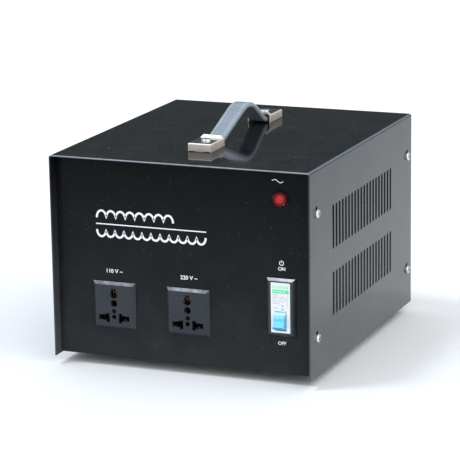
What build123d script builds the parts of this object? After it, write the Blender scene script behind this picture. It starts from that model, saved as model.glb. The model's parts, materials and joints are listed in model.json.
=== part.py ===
# A bench-top step-up and step-down mains transformer in a folded sheet-steel case.
# Frame: origin on the floor under the middle of the whole object, X to the right seen from the
# front, Y from front to back, Z up. Lengths are millimetres and angles are degrees.
from build123d import *
from math import atan2, cos, degrees, radians, sin, sqrt
import os

# Case
side_bay = 29.2  # between the winding and the tray's sides
head_room = 82.0  # between the transformer's winding and the cover's top sheet
front_bay = 70.0  # room for sockets and breaker between front panel and transformer
rear_bay = 6.3
front_recess = 10.5  # how far the front panel sits inside the cover's open end
rear_recess = 7.2
cover_sheet = 1.5
cover_bend = 2.6  # outside radius of the cover's two folds
tray_sheet = 1.5
tray_bend = 2.4  # outside radius of the tray's folds
side_gap = 0.3  # between the tray and the cover's side walls
roof_gap = 0.5
lip_drop = 1.0  # how far the cover's lower edges hang below the tray
flange_depth = 20.0  # return flanges along the panels' upright edges
brim_depth = 12.0  # flanges along the panels' top edges
hem_height = 10.0  # upturned hems along the tray's sides
corner_relief = 3.0  # notch where two folds meet

# Vents in the cover's side walls
vent_count = 20
vent_pitch = 8.31
vent_width = 4.4
vent_length = 40.0
vent_inset = 59.5  # from the cover's front edge to the first slot's middle
vent_rise = 44.5  # from the cover's lower edge to the lower row
vent_row_gap = 20.6

# Angles
full_turn = 360.0
quarter_turn = 90.0

# Clearances shared by the whole object
seat_gap = 0.3  # between parts that only rest near each other
thread_gap = 0.1  # between a shank and its nut, and between a pin and its hole
press_gap = 0.05  # between moulded parts that clip together
overrun = 1.0  # how far cutting tools pass through what they cut

# Screws that hold the cover
cover_screw_radius = 2.0
cover_screw_length = 9.0
cover_head_radius = 4.0
cover_head_height = 2.5
nut_width = 7.0  # of the nuts for the cover's screws, the feet and the breaker's studs
nut_height = 3.2
cover_screw_offset = 6.5  # behind each panel's outer face
low_screw_rise = 35.2  # above the cover's lower edge
high_screw_drop = 38.7  # below the cover's top
cover_slot_width = 4.6
cover_slot_rise = 4.2  # how much further up than the screw the slot reaches
head_round_share = 0.62  # of a screw head's height
recess_width_share = 0.22  # of a screw head's diameter
recess_length_share = 0.62
recess_depth_share = 0.55  # of a screw head's height

# Feet
foot_radius = 13.0
foot_taper = 1.5
foot_height = 9.0
foot_well_radius = 6.0
foot_well_depth = 5.5
foot_side_inset = 32.0
foot_end_inset = 45.0
foot_screw_radius = 2.0
foot_head_radius = 4.0
foot_head_height = 2.4

# Handle: a moulded strap over a spring-steel strip, held by a plated cap and screw at each end
handle_length = 176.0  # over both caps
cap_length = 32.0
cap_width = 22.6
cap_height = 7.7
cap_sheet = 1.0
cap_bevel = 1.0
hood_height = 10.2
hood_crest = 16.4  # width of the hood's ridge, which its side slopes make narrower than the cap
hood_ramp = 2.6  # length of the slope from the cap's flat top up to its hood
hood_flat = 1.2
hood_lean = 1.4  # how far the mouth face leans out from top to foot
cap_tab_width = 8.0
cap_tab_lift = 0.6  # gap under the end wall on both sides of its tab
strap_width = 16.4
strap_thickness = 5.0
strap_edge = 2.0  # radius of the strap's long edges
strap_rise = 27.0  # crown above the cover's top
strap_root_radius = 20.0  # of the bend at each mouth, on the strap's middle line
crown_shift = 12.0  # of the strap's crown behind the handle's middle
crown_share = 0.83  # both bends of the rear leg, of the widest bends that would fit there
strap_slot_length = 12.0
strap_end_gap = 3.5  # room for the strap's end to slide inside its cap
groove_count = 4
groove_width = 0.8
groove_depth = 0.45
groove_pitch = 2.3
strip_width = 10.0
strip_thickness = 0.8
handle_screw_radius = 2.5
handle_head_radius = 4.6
handle_head_height = 2.8
handle_nut_width = 8.0
handle_nut_height = 4.0
handle_plate_length = 30.0
handle_plate_width = 20.0
handle_plate_sheet = 1.5

# Output sockets, which take plugs of several standards
socket_inset = 56.5  # from the case's left side to the first socket's middle
socket_pitch = 71.3
socket_rise = 49.7
socket_lip = 2.7  # of the plate beyond the box behind it
socket_proud = 3.2
socket_bevel = 2.5
socket_face = 3.0  # thickness of the moulded face behind its front surface
socket_side_room = 1.75  # between the box's side walls and the contacts
socket_end_room = 1.5  # between the box's top and bottom walls and the pin holes
socket_body_depth = 25.0  # behind the front panel
socket_wall = 1.6
socket_cover_sheet = 2.0
snap_rib = 1.2
earth_slot_width = 4.7
earth_slot_top = 15.7  # above the socket's middle
earth_hole_radius = 3.7
earth_hole_rise = 10.3
second_hole_radius = 3.2
second_hole_rise = 2.1
small_hole_radius = 2.1
small_hole_drops = (5.2, 10.4)
blade_drop = 11.3  # of the two current slots below the socket's middle
blade_slot_height = 4.6
blade_slot_outer = 14.9
blade_slot_inner = 4.3
round_pin_offset = 9.5
round_pin_radius = 2.8
upright_slot_width = 3.5
upright_slot_height = 8.8
contact_sheet = 0.8
contact_inset = 2.2  # of the contacts' front edges behind the socket's moulded face
contact_length = 14.0
contact_jaw = 4.4  # clear width between a contact's two leaves
line_contact_width = 6.2
earth_contact_top = 15.0
earth_contact_foot = -1.5
contact_tab_length = 9.0
contact_tab_width = 4.8
earth_tab_width = 9.0  # wide enough for two leads

# Circuit breaker that serves as the power switch
breaker_inset = 30.2  # from the case's right side
breaker_rise = 62.1
breaker_width = 17.8
nose_height = 45.0
nose_depth = 23.0
breaker_depth = 66.0
breaker_wall = 1.2
rail_notch_height = 35.4
rail_notch_depth = 5.0
bezel_width = 26.8
bezel_height = 52.4
bezel_proud = 3.8
bezel_bevel = 2.5
bezel_collar = 9.0  # depth of the sleeve behind the front panel
bezel_sleeve = 1.4
nose_sink = 0.4  # of the breaker's face behind the bezel's front
toggle_radius = 9.2
toggle_bulge = 4.4  # of the drum through the breaker's face
toggle_width = 10.0
toggle_gap = 0.4
toggle_pin_radius = 1.5
toggle_travel = 50.0
lever_reach = 3.4  # of the finger tab beyond the drum
lever_root_angle = 7.0
lever_tip_blunt = 11.0
lever_foot_angle = -50.0
arm_width = 3.0
arm_length = 22.0
arm_thickness = 2.6
arm_pin_radius = 1.2
arm_hub_radius = 3.0
arm_angle = 62.0  # of the open arm above the horizontal
arm_travel = 20.0
arm_pivot_depth = 30.0  # behind the breaker's face
arm_pivot_drop = 14.0
anvil_length = 10.0
anvil_thickness = 2.0
strip_sheet = 1.5  # of the copper strip from the fixed contact to the upper terminal
coil_radius = 4.5
coil_length = 17.0
chute_plates = 9
chute_plate_sheet = 0.8
chute_pitch = 2.2
chute_depth = 14.0
clamp_height = 9.0
clamp_room = 3.05  # above and below each terminal, inside the breaker's case
clamp_depth = 11.0
clamp_sheet = 1.5
clamp_screw_radius = 2.3
clamp_screw_length = 4.4
clamp_head_radius = 3.2
clamp_head_height = 2.6
rivet_radius = 1.6
rivet_head_radius = 2.4
rivet_head_height = 0.8
rear_rivet_inset = 7.0
nose_rivet_inset = 5.0
strap_sheet = 1.5  # of the steel stirrup that holds the breaker
stirrup_width = 12.0
stirrup_foot = 13.0
stud_radius = 2.0
stud_length = 8.0

# Pilot lamp
lamp_drop = 26.4  # below the cover's top
lamp_radius = 6.8
lamp_lens_height = 3.4
lamp_dome_radius = 4.6
lamp_dome_height = 2.4
lamp_dome_sides = 8
lamp_flange_height = 0.8
lamp_shell = 1.0
lamp_barrel_radius = 5.6
lamp_barrel_length = 24.0
lamp_nut_width = 15.0
lamp_nut_height = 3.0
neon_radius = 2.6
neon_length = 11.0
lamp_tab_width = 2.8
lamp_tab_sheet = 0.6
lamp_tab_length = 7.0
lamp_tab_pitch = 5.0

# Ring-core transformer
transformer_diameter = 184.0
transformer_height = 96.0
transformer_bore = 56.0
winding_round = 13.0
wrap_thickness = 0.8
outer_winding = 15.0
inner_winding = 12.0
end_winding = 13.0
core_chamfer = 1.5
winding_gap_angle = 16.0  # where the tapping leads come out, facing the front
bank_count = 12  # the coil is wound in banks, side by side round the core
bank_gap_angle = 0.6
pad_thickness = 3.0
lower_pad_diameter = 150.0
upper_pad_diameter = 104.0
dish_diameter = 96.0
dish_sheet = 2.5
dish_sink = 9.0
dish_flat_radius = 14.0
dish_mouth_radius = 26.0
bolt_radius = 5.0
bolt_head_width = 17.0
bolt_head_height = 6.4
bolt_washer_radius = 10.0
bolt_washer_sheet = 2.0
bolt_nut_height = 8.0
bolt_spare = 4.0

# Mains entry and terminal block
gland_inset = 32.0  # from the case's left side
gland_rise = 52.0
gland_flange = 5.0
gland_width = 27.0
gland_thread_radius = 10.0
gland_bore_radius = 7.0
gland_tail = 10.0
gland_nut_height = 5.0
gland_spigot = 8.0
gland_cap_width = 25.0
gland_cap_reach = 17.0  # of the cap beyond the flange
gland_cap_wall = 3.0
gland_cap_hole_radius = 7.2
seal_bore_radius = 6.5
block_width = 32.0
block_depth = 22.0
block_height = 15.0
block_side_gap = 1.5
block_end_gap = 8.0
block_poles = 4
block_screw_radius = 1.8
block_screw_depth = 7.0
block_screw_head_radius = 2.6
block_screw_head_height = 1.6
block_wire_radius = 2.3

# Input voltage selector, a slide switch in the rear panel
selector_inset = 34.0  # from the case's right side
selector_drop = 52.0
selector_window_width = 16.0
selector_window_height = 8.0
selector_plate_width = 38.0
selector_plate_height = 14.0
selector_plate_sheet = 1.2
selector_body_width = 22.0
selector_body_height = 12.4
selector_body_depth = 12.0
selector_wall = 1.4
selector_knob_width = 7.0
selector_knob_height = 7.2
selector_knob_sink = 0.5  # of the knob behind the panel's outer face
selector_flange = 0.9  # extra width and height of the knob's root
selector_screw_pitch = 30.0
selector_screw_radius = 1.5
selector_screw_length = 7.0
selector_head_radius = 2.8
selector_head_height = 1.9
selector_nut_width = 5.5
selector_nut_height = 2.4
selector_tab_length = 5.0
selector_tab_width = 3.0
selector_tab_sheet = 0.6
selector_tab_pitch = 7.0

# Internal leads, tubes of straight runs and tangent arcs
lead_radius = 1.7
thin_lead_radius = 0.9
lead_bend = 11.0
long_lead_bend = 28.0
lead_aisle = 19.0  # between the winding and the leads that cross the front bay
lead_rise = 16.0  # of the neutral lead's tap above the floor leads
tap_x = 3.5  # of the taps that come out of the winding's top
tap_depth = 5.0  # of the foremost of them behind the core's outer edge
tap_pitch = 7.0
front_tap_x = 6.5
upper_tap_drop = 27.0  # below the winding's top, of the first socket's taps
line_tap_rise = 10.0
breaker_lead_rise = 25.0  # over the winding's top, of the lead from the breaker
lamp_lead_rise = 42.0
lamp_lead_run = 20.0

# Sizes and places worked out from the sizes above
case_width = transformer_diameter + 2 * (side_bay + side_gap + cover_sheet)
case_height = lip_drop + tray_sheet + pad_thickness + transformer_height + head_room + cover_sheet
half_width = case_width / 2
current_contact_x = (blade_slot_outer + blade_slot_inner + upright_slot_width) / 2
socket_body_width = 2 * (current_contact_x + line_contact_width / 2 + socket_side_room + socket_wall)
hole_reach = max(earth_slot_top, blade_drop + upright_slot_height / 2)
socket_body_height = 2 * (hole_reach + socket_end_room + socket_wall)
socket_width = socket_body_width + 2 * socket_lip
socket_height = socket_body_height + 2 * socket_lip
rear_overhang = gland_flange + gland_cap_reach - rear_recess
case_depth = (front_recess + rear_recess + 2 * tray_sheet
              + front_bay + transformer_diameter + rear_bay)
case_front = -(case_depth + rear_overhang) / 2
case_back = case_front + case_depth
case_middle = (case_front + case_back) / 2
panel_y = case_front + front_recess  # outer face of the front panel
panel_back = panel_y + tray_sheet
back_y = case_back - rear_recess  # outer face of the rear panel
back_front = back_y - tray_sheet
tray_z = foot_height
base_z = tray_z + tray_sheet  # top face of the tray's base
cover_z = tray_z - lip_drop
top_z = cover_z + case_height
roof_z = top_z - cover_sheet
tray_half = half_width - cover_sheet - side_gap
tray_top = roof_z - roof_gap
low_screw_z = cover_z + low_screw_rise
high_screw_z = top_z - high_screw_drop
socket_xs = (-half_width + socket_inset, -half_width + socket_inset + socket_pitch)
socket_z = cover_z + socket_rise
breaker_x = half_width - breaker_inset
breaker_z = cover_z + breaker_rise
bezel_y = panel_y - bezel_proud
nose_y = bezel_y + nose_sink
lamp_x = breaker_x
lamp_z = top_z - lamp_drop
gland_x = -half_width + gland_inset
gland_z = cover_z + gland_rise
selector_x = half_width - selector_inset
selector_z = top_z - selector_drop
transformer_y = panel_back + front_bay + transformer_diameter / 2
breaker_height = nose_height + 2 * (clamp_height + 2 * (breaker_wall + clamp_room))
winding_z = base_z + pad_thickness
winding_top = winding_z + transformer_height
toggle_y = nose_y + toggle_radius - toggle_bulge
lever_tip_angle = (lever_tip_blunt - toggle_travel) / 2
toggle_z = breaker_z - nose_height / 2 + breaker_wall + toggle_gap + toggle_radius
arm_y = nose_y + arm_pivot_depth
arm_z = breaker_z - arm_pivot_drop
selector_travel = selector_window_width - selector_knob_width - 2 * seat_gap


def block(x0, x1, y0, y1, z0, z1):
    """A box between two corners."""
    return Pos((x0 + x1) / 2, (y0 + y1) / 2, (z0 + z1) / 2) * Box(abs(x1 - x0), abs(y1 - y0), abs(z1 - z0))


def slab(x, width, y0, y1, z, height):
    """A box that is centred on x and z and runs from y0 to y1."""
    return block(x - width / 2, x + width / 2, y0, y1, z - height / 2, z + height / 2)


def rod_x(x0, x1, y, z, radius):
    return Pos((x0 + x1) / 2, y, z) * Rot(0, quarter_turn, 0) * Cylinder(radius, abs(x1 - x0))


def rod_y(x, y0, y1, z, radius):
    return Pos(x, (y0 + y1) / 2, z) * Rot(quarter_turn, 0, 0) * Cylinder(radius, abs(y1 - y0))


def rod_z(x, y, z0, z1, radius):
    return Pos(x, y, (z0 + z1) / 2) * Cylinder(radius, abs(z1 - z0))


def slot_x(x0, x1, y, z0, z1, width):
    """An upright round-ended slot cut along X, from z0 to z1."""
    half = width / 2
    middle = block(x0, x1, y - half, y + half, z0 + half, z1 - half)
    return middle + rod_x(x0, x1, y, z0 + half, half) + rod_x(x0, x1, y, z1 - half, half)


def ring_z(x, y, z0, z1, outer, inner):
    return rod_z(x, y, z0, z1, outer) - rod_z(x, y, z0 - overrun, z1 + overrun, inner)


def ring_y(x, y0, y1, z, outer, inner):
    return rod_y(x, y0, y1, z, outer) - rod_y(x, y0 - overrun, y1 + overrun, z, inner)


def hex_prism(width, height):
    """A hexagonal prism on the XY plane, width across its flats."""
    return extrude(RegularPolygon(width / 2, 6, major_radius=False), height)


def hex_nut(width, height, shank_radius):
    bore = Pos(0, 0, height / 2) * Cylinder(shank_radius + thread_gap, height + 2 * overrun)
    return hex_prism(width, height) - bore


def facing_back(shape, x, y, z):
    """Places a shape that was drawn on the XY plane so that its Z points to the rear."""
    return Pos(x, y, z) * Rot(-quarter_turn, 0, 0) * shape


def pan_screw(shank_radius, length, head_radius, head_height):
    """A cross-recessed screw: its head rises from the XY plane and its shank points down."""
    head = Pos(0, 0, head_height / 2) * Cylinder(head_radius, head_height)
    head = fillet(head.edges().group_by(Axis.Z)[-1], head_height * head_round_share)
    depth = head_height * recess_depth_share
    across = 2 * head_radius * recess_length_share
    thick = 2 * head_radius * recess_width_share
    cross = Box(across, thick, 2 * depth) + Box(thick, across, 2 * depth)
    shank = Pos(0, 0, -length / 2) * Cylinder(shank_radius, length)
    return head - Pos(0, 0, head_height) * cross + shank


def bevelled_plate(x, width, z, height, y_back, y_front, bevel):
    """A plate that faces the front, with its front edges bevelled."""
    plate = slab(x, width, y_front, y_back, z, height)
    return chamfer(plate.faces().sort_by(Axis.Y)[0].edges(), bevel)


def screw_places():
    """Side sign, y and z of each screw that holds the cover."""
    ys = (panel_y + cover_screw_offset, back_y - cover_screw_offset)
    return [(side, y, z) for side in (-1, 1) for y in ys for z in (low_screw_z, high_screw_z)]


def foot_places():
    ys = (panel_y + foot_end_inset, back_y - foot_end_inset)
    return [(side * (tray_half - foot_side_inset), y) for side in (-1, 1) for y in ys]


def handle_screw_places():
    reach = handle_length / 2 - cap_length / 2
    return [case_middle - reach, case_middle + reach]


def top_cover():
    """The sheet folded over both sides, with two rows of vents in each side wall."""
    outer = block(-half_width, half_width, case_front, case_back, cover_z, top_z)
    folds = outer.edges().filter_by(Axis.Y).group_by(Axis.Z)[-1]
    outer = fillet(folds, cover_bend)
    inner = block(-half_width + cover_sheet, half_width - cover_sheet, case_front - overrun,
                  case_back + overrun, cover_z - overrun, roof_z)
    inner_folds = inner.edges().filter_by(Axis.Y).group_by(Axis.Z)[-1]
    inner = fillet(inner_folds, max(cover_bend - cover_sheet, side_gap))
    shell = outer - inner
    cuts = []
    lows = (cover_z + vent_rise, cover_z + vent_rise + vent_length + vent_row_gap)
    for side in (-1, 1):
        x0 = side * (half_width - cover_sheet - overrun)
        x1 = side * (half_width + overrun)
        for row in lows:
            for n in range(vent_count):
                y = case_front + vent_inset + n * vent_pitch
                cuts.append(slot_x(x0, x1, y, row, row + vent_length, vent_width))
    for side, y, z in screw_places():
        x0 = side * (half_width - cover_sheet - overrun)
        x1 = side * (half_width + overrun)
        half = cover_slot_width / 2
        cuts.append(slot_x(x0, x1, y, z - half, z + half + cover_slot_rise, cover_slot_width))
    for y in handle_screw_places():
        cuts.append(rod_z(0, y, roof_z - overrun, top_z + overrun, handle_screw_radius + seat_gap))
    return shell - cuts


def tray():
    """Base, front panel and rear panel folded from one sheet, with flanges the cover screws to."""
    walls = block(-tray_half, tray_half, panel_y, back_y, tray_z, tray_top)
    walls = fillet(walls.edges().filter_by(Axis.X).group_by(Axis.Z)[0], tray_bend)
    hollow = block(-tray_half - overrun, tray_half + overrun, panel_back, back_front, base_z,
                   tray_top + overrun)
    inner_bend = max(tray_bend - tray_sheet, side_gap)
    hollow = fillet(hollow.edges().filter_by(Axis.X).group_by(Axis.Z)[0], inner_bend)
    body = walls - hollow
    for side in (-1, 1):
        edge, inside = side * tray_half, side * (tray_half - tray_sheet)
        for y0, y1 in ((panel_back, panel_y + flange_depth), (back_y - flange_depth, back_front)):
            body += block(edge, inside, y0, y1, base_z + hem_height + corner_relief, tray_top)
        y0, y1 = panel_y + flange_depth, back_y - flange_depth
        body += block(edge, inside, y0, y1, base_z, base_z + hem_height)
    brim_half = tray_half - tray_sheet - corner_relief
    for y0, y1 in ((panel_back, panel_y + brim_depth), (back_y - brim_depth, back_front)):
        body += block(-brim_half, brim_half, y0, y1, tray_top - tray_sheet, tray_top)
    body += studs()
    return body - front_openings() - rear_openings() - base_openings()


def studs():
    """Welded studs behind the front panel: two for the breaker's stirrup."""
    made = []
    for z in stirrup_stud_zs():
        made.append(rod_y(breaker_x, panel_back, panel_back + stud_length, z, stud_radius))
    return made


def front_openings():
    cuts = []
    for x in socket_xs:
        cuts.append(slab(x, socket_body_width + 2 * press_gap, panel_y - overrun, panel_back + overrun,
                         socket_z, socket_body_height + 2 * press_gap))
    sleeve_width = breaker_width + 2 * (seat_gap + bezel_sleeve + press_gap)
    sleeve_height = nose_height + 2 * (seat_gap + bezel_sleeve + press_gap)
    y0, y1 = panel_y - overrun, panel_back + overrun
    cuts.append(slab(breaker_x, sleeve_width, y0, y1, breaker_z, sleeve_height))
    cuts.append(rod_y(lamp_x, y0, y1, lamp_z, lamp_barrel_radius + press_gap))
    return cuts


def rear_openings():
    y0, y1 = back_front - overrun, back_y + overrun
    cuts = [rod_y(gland_x, y0, y1, gland_z, gland_thread_radius + thread_gap),
            slab(selector_x, selector_window_width, y0, y1, selector_z, selector_window_height)]
    for x in selector_screw_xs():
        cuts.append(rod_y(x, y0, y1, selector_z, selector_screw_radius + thread_gap))
    return cuts


def base_openings():
    """Holes for the feet and the transformer's bolt, and for the cover's screws in the flanges."""
    cuts = [rod_z(x, y, tray_z - overrun, base_z + overrun, foot_screw_radius + thread_gap)
            for x, y in foot_places()]
    cuts.append(rod_z(0, transformer_y, tray_z - overrun, base_z + overrun, bolt_radius + thread_gap))
    for side, y, z in screw_places():
        x0, x1 = side * (tray_half - tray_sheet - overrun), side * (tray_half + overrun)
        cuts.append(rod_x(x0, x1, y, z, cover_screw_radius + thread_gap))
    return cuts


def cover_screws():
    screw = pan_screw(cover_screw_radius, cover_screw_length, cover_head_radius, cover_head_height)
    return [Pos(side * half_width, y, z) * Rot(0, side * quarter_turn, 0) * screw
            for side, y, z in screw_places()]


def small_nuts():
    """The like nuts of the cover's screws, the feet and the breaker's studs."""
    cover_nut = hex_nut(nut_width, nut_height, cover_screw_radius)
    foot_nut = hex_nut(nut_width, nut_height, foot_screw_radius)
    stud_nut = hex_nut(nut_width, nut_height, stud_radius)
    nuts = [Pos(side * (tray_half - tray_sheet), y, z) * Rot(0, -side * quarter_turn, 0) * cover_nut
            for side, y, z in screw_places()]
    nuts += [Pos(x, y, base_z) * foot_nut for x, y in foot_places()]
    nuts += [facing_back(stud_nut, breaker_x, panel_back + strap_sheet, z) for z in stirrup_stud_zs()]
    return nuts


def feet():
    made = []
    for x, y in foot_places():
        cone = Pos(x, y, foot_height / 2) * Cone(foot_radius - foot_taper, foot_radius, foot_height)
        well = rod_z(x, y, -overrun, foot_well_depth, foot_well_radius)
        hole = rod_z(x, y, 0, foot_height + overrun, foot_screw_radius + thread_gap)
        made.append(cone - well - hole)
    return made


def foot_screws():
    length = foot_height - foot_well_depth + tray_sheet + nut_height + overrun
    screw = pan_screw(foot_screw_radius, length, foot_head_radius, foot_head_height)
    return [Pos(x, y, foot_well_depth) * Rot(2 * quarter_turn, 0, 0) * screw for x, y in foot_places()]


def cap_outline(inset):
    """Side view of a handle cap, as (distance from its outer end, height), shrunk by inset."""
    ramp_start = cap_length - hood_lean - hood_flat - hood_ramp
    ramp_end = ramp_start + hood_ramp
    lean_share = hood_lean / hood_height
    top, crest = cap_height - inset, hood_height - inset
    mouth_foot = cap_length + lean_share * inset
    return [(inset, -inset), (inset, top), (ramp_start + inset / 2, top), (ramp_end + inset / 2, crest),
            (mouth_foot - lean_share * (crest + inset), crest), (mouth_foot, -inset)]


def cap_front(inset):
    """Front view of a handle cap, upright walls and then slopes up to the crest, shrunk by inset."""
    wall, crest = cap_width / 2, hood_crest / 2
    shoulder = cap_height - cap_bevel
    points = [(-wall, -cap_height), (-wall, shoulder), (-crest, hood_height), (crest, hood_height),
              (wall, shoulder), (wall, -cap_height)]
    face = make_face(Polyline(*points, close=True))
    return offset(face, -inset, kind=Kind.INTERSECTION) if inset else face


def cap_solid(end, inset):
    """The cap's outer shape, or its hollow: its side view and its front view cut from one block."""
    outer_end = case_middle + end * handle_length / 2
    points = [(outer_end - end * u, top_z + w) for u, w in cap_outline(inset)]
    side_view = make_face(Plane.YZ * Polyline(*points, close=True))
    long_way = extrude(side_view, cap_width, dir=(1, 0, 0), both=True)
    front_view = Plane(origin=(0, outer_end, top_z), x_dir=(1, 0, 0), z_dir=(0, -1, 0)) * cap_front(inset)
    return long_way & extrude(front_view, 2 * cap_length, dir=(0, 1, 0), both=True)


def handle_cap(end):
    """A folded and plated cap; end is -1 for the front one and 1 for the rear one."""
    outer_end = case_middle + end * handle_length / 2
    shell = cap_solid(end, 0)
    end_edge = [e for e in shell.edges() if abs(e.center().Y - outer_end) < thread_gap
                and e.center().Z > top_z + cap_height - thread_gap]
    shell = chamfer(end_edge, cap_bevel)
    shell -= cap_solid(end, cap_sheet)
    shell -= rod_z(0, outer_end - end * cap_length / 2, top_z, top_z + hood_height,
                   handle_screw_radius + thread_gap)
    notch = (cap_width - cap_tab_width) / 2 - cap_sheet
    for side in (-1, 1):
        x0 = side * (cap_width / 2 - cap_sheet)
        shell -= block(x0, x0 - side * notch, outer_end - end * 2 * cap_sheet, outer_end + end * overrun,
                       top_z - overrun, top_z + cap_tab_lift)
    return shell


def strap_leg(side, root, climb, crown_radius):
    """Length along the handle and height of one leg's bends, from where it lies flat to the crown."""
    span = root - side * crown_shift
    bends = strap_root_radius + crown_radius
    straight = sqrt(span ** 2 + (bends - climb) ** 2 - bends ** 2)
    slope = atan2(climb - bends, span) + atan2(bends, straight)
    low, high = strap_flat_height(), strap_flat_height() + climb
    crown_reach = crown_radius * sin(slope)
    points = [(side * root, low)]
    for angle in (slope / 2, slope):
        points.append((side * (root - strap_root_radius * sin(angle)),
                       low + strap_root_radius * (1 - cos(angle))))
    points.append((crown_shift + side * crown_reach, high - crown_radius * (1 - cos(slope))))
    return [(0, case_middle + u, w) for u, w in points]


def strap_flat_height():
    """Height of the strap's middle line where it lies flat."""
    return top_z + seat_gap + strap_thickness / 2


def strap_line():
    """The strap's middle line: flat in both caps, bent up at each mouth, two legs and a round crown."""
    end = handle_length / 2 - cap_sheet - strap_end_gap
    low, high = strap_flat_height(), top_z + strap_rise - strap_thickness / 2
    climb = high - low
    front_root = handle_length / 2 - cap_length
    rear_root = front_root + hood_lean + hood_flat + hood_ramp
    rear_span = rear_root - crown_shift
    widest_bends = (rear_span ** 2 + climb ** 2) / (2 * climb)
    crown_radius = crown_share * widest_bends - strap_root_radius
    front = strap_leg(-1, front_root, climb, crown_radius)
    rear = strap_leg(1, rear_root, climb, crown_radius)
    crown = (0, case_middle + crown_shift, high)
    pieces = [Line((0, case_middle - end, low), front[0]), ThreePointArc(*front[:3]), Line(*front[2:]),
              ThreePointArc(front[3], crown, rear[3]), Line(rear[3], rear[2]), ThreePointArc(*reversed(rear[:3])),
              Line(rear[0], (0, case_middle + end, low))]
    return Wire(pieces)


def along_strap(face):
    line = strap_line()
    start = line @ 0
    return sweep(Plane(origin=start, x_dir=(1, 0, 0), z_dir=(0, 1, 0)) * face, path=line)


def strap_slots():
    cuts = []
    for y in handle_screw_places():
        half = strap_slot_length / 2 - handle_screw_radius
        width = 2 * (handle_screw_radius + seat_gap)
        z0, z1 = top_z, top_z + hood_height
        cuts.append(block(-width / 2, width / 2, y - half, y + half, z0, z1)
                    + rod_z(0, y - half, z0, z1, width / 2) + rod_z(0, y + half, z0, z1, width / 2))
    return cuts


def handle_strap():
    profile = RectangleRounded(strap_width, strap_thickness, strap_edge)
    down = -1  # the profile's own Y points down once it stands across the line
    for n in range(groove_count):
        x = (n - (groove_count - 1) / 2) * groove_pitch
        profile -= Pos(x, down * strap_thickness / 2) * Rectangle(groove_width, 2 * groove_depth)
    profile -= Rectangle(strip_width + 2 * press_gap, strip_thickness + 2 * press_gap)
    return along_strap(profile) - strap_slots()


def handle_strip():
    return along_strap(Rectangle(strip_width, strip_thickness)) - strap_slots()


def handle_screws():
    length = cap_height + cover_sheet + handle_plate_sheet + handle_nut_height + 2 * overrun
    screw = pan_screw(handle_screw_radius, length, handle_head_radius, handle_head_height)
    return [Pos(0, y, top_z + cap_height) * screw for y in handle_screw_places()]


def handle_plates():
    made = []
    for y in handle_screw_places():
        plate = block(-handle_plate_width / 2, handle_plate_width / 2, y - handle_plate_length / 2,
                      y + handle_plate_length / 2, roof_z - handle_plate_sheet, roof_z)
        made.append(plate - rod_z(0, y, roof_z - handle_plate_sheet - overrun, roof_z + overrun,
                                  handle_screw_radius + thread_gap))
    return made


def handle_nuts():
    nut = hex_nut(handle_nut_width, handle_nut_height, handle_screw_radius)
    return [Pos(0, y, roof_z - handle_plate_sheet - handle_nut_height) * nut for y in handle_screw_places()]


def socket_holes(x, y0, y1):
    """The pin holes of one socket face, cut from y0 to y1."""
    cuts = [slab(x, earth_slot_width, y0, y1, socket_z + (earth_hole_rise + earth_slot_top) / 2,
                 earth_slot_top - earth_hole_rise),
            rod_y(x, y0, y1, socket_z + earth_hole_rise, earth_hole_radius),
            rod_y(x, y0, y1, socket_z + second_hole_rise, second_hole_radius)]
    for drop in small_hole_drops:
        cuts.append(rod_y(x, y0, y1, socket_z - drop, small_hole_radius))
    for side in (-1, 1):
        z = socket_z - blade_drop
        middle = x + side * (blade_slot_outer + blade_slot_inner) / 2
        cuts.append(slab(middle, blade_slot_outer - blade_slot_inner, y0, y1, z, blade_slot_height))
        upright = x + side * (blade_slot_inner + upright_slot_width / 2)
        cuts.append(slab(upright, upright_slot_width, y0, y1, z, upright_slot_height))
        cuts.append(rod_y(x + side * round_pin_offset, y0, y1, z, round_pin_radius))
    return cuts


socket_face_y = panel_y - socket_proud
socket_inner_y = socket_face_y + socket_face
socket_end_y = panel_back + socket_body_depth
tab_end_y = socket_end_y + contact_tab_length


def socket_housing(x):
    """The bevelled face with its pin holes, and the box behind it that clips into the panel."""
    plate = bevelled_plate(x, socket_width, socket_z, socket_height, panel_y, socket_face_y, socket_bevel)
    box = slab(x, socket_body_width, panel_y, socket_end_y, socket_z, socket_body_height)
    hollow = slab(x, socket_body_width - 2 * socket_wall, socket_inner_y, socket_end_y + overrun,
                  socket_z, socket_body_height - 2 * socket_wall)
    ribs = []
    for side in (-1, 1):
        edge = x + side * socket_body_width / 2
        rib = block(edge, edge + side * snap_rib, panel_back + seat_gap, panel_back + seat_gap + 2 * snap_rib,
                    socket_z - contact_length / 2, socket_z + contact_length / 2)
        ribs.append(rib)
    return plate + box + ribs - hollow - socket_holes(x, socket_face_y - overrun, socket_inner_y + overrun)


def contact_places(x):
    """Middle x and z of the line, neutral and earth contacts of the socket at x."""
    earth_z = socket_z + (earth_contact_top + earth_contact_foot) / 2
    return {"line": (x - current_contact_x, socket_z - blade_drop),
            "neutral": (x + current_contact_x, socket_z - blade_drop), "earth": (x, earth_z)}


def socket_contact(x, kind):
    """A folded brass clip: two leaves either side of the pin, a web behind it and a tab."""
    cx, cz = contact_places(x)[kind]
    y0 = socket_inner_y + contact_inset
    y1 = y0 + contact_length
    reach = contact_jaw / 2 + contact_sheet
    if kind == "earth":
        height = earth_contact_top - earth_contact_foot
        outer = slab(cx, 2 * reach, y0, y1, cz, height)
        jaw = slab(cx, contact_jaw, y0 - overrun, y1 - contact_sheet, cz, height + 2 * overrun)
    else:
        outer = slab(cx, line_contact_width, y0, y1, cz, 2 * reach)
        jaw = slab(cx, line_contact_width + 2 * overrun, y0 - overrun, y1 - contact_sheet, cz,
                   blade_slot_height)
    tab = slab(cx, contact_sheet, y1 - contact_sheet, tab_end_y, cz, tab_width(kind))
    return outer - jaw + tab


def tab_width(kind):
    return earth_tab_width if kind == "earth" else contact_tab_width


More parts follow.
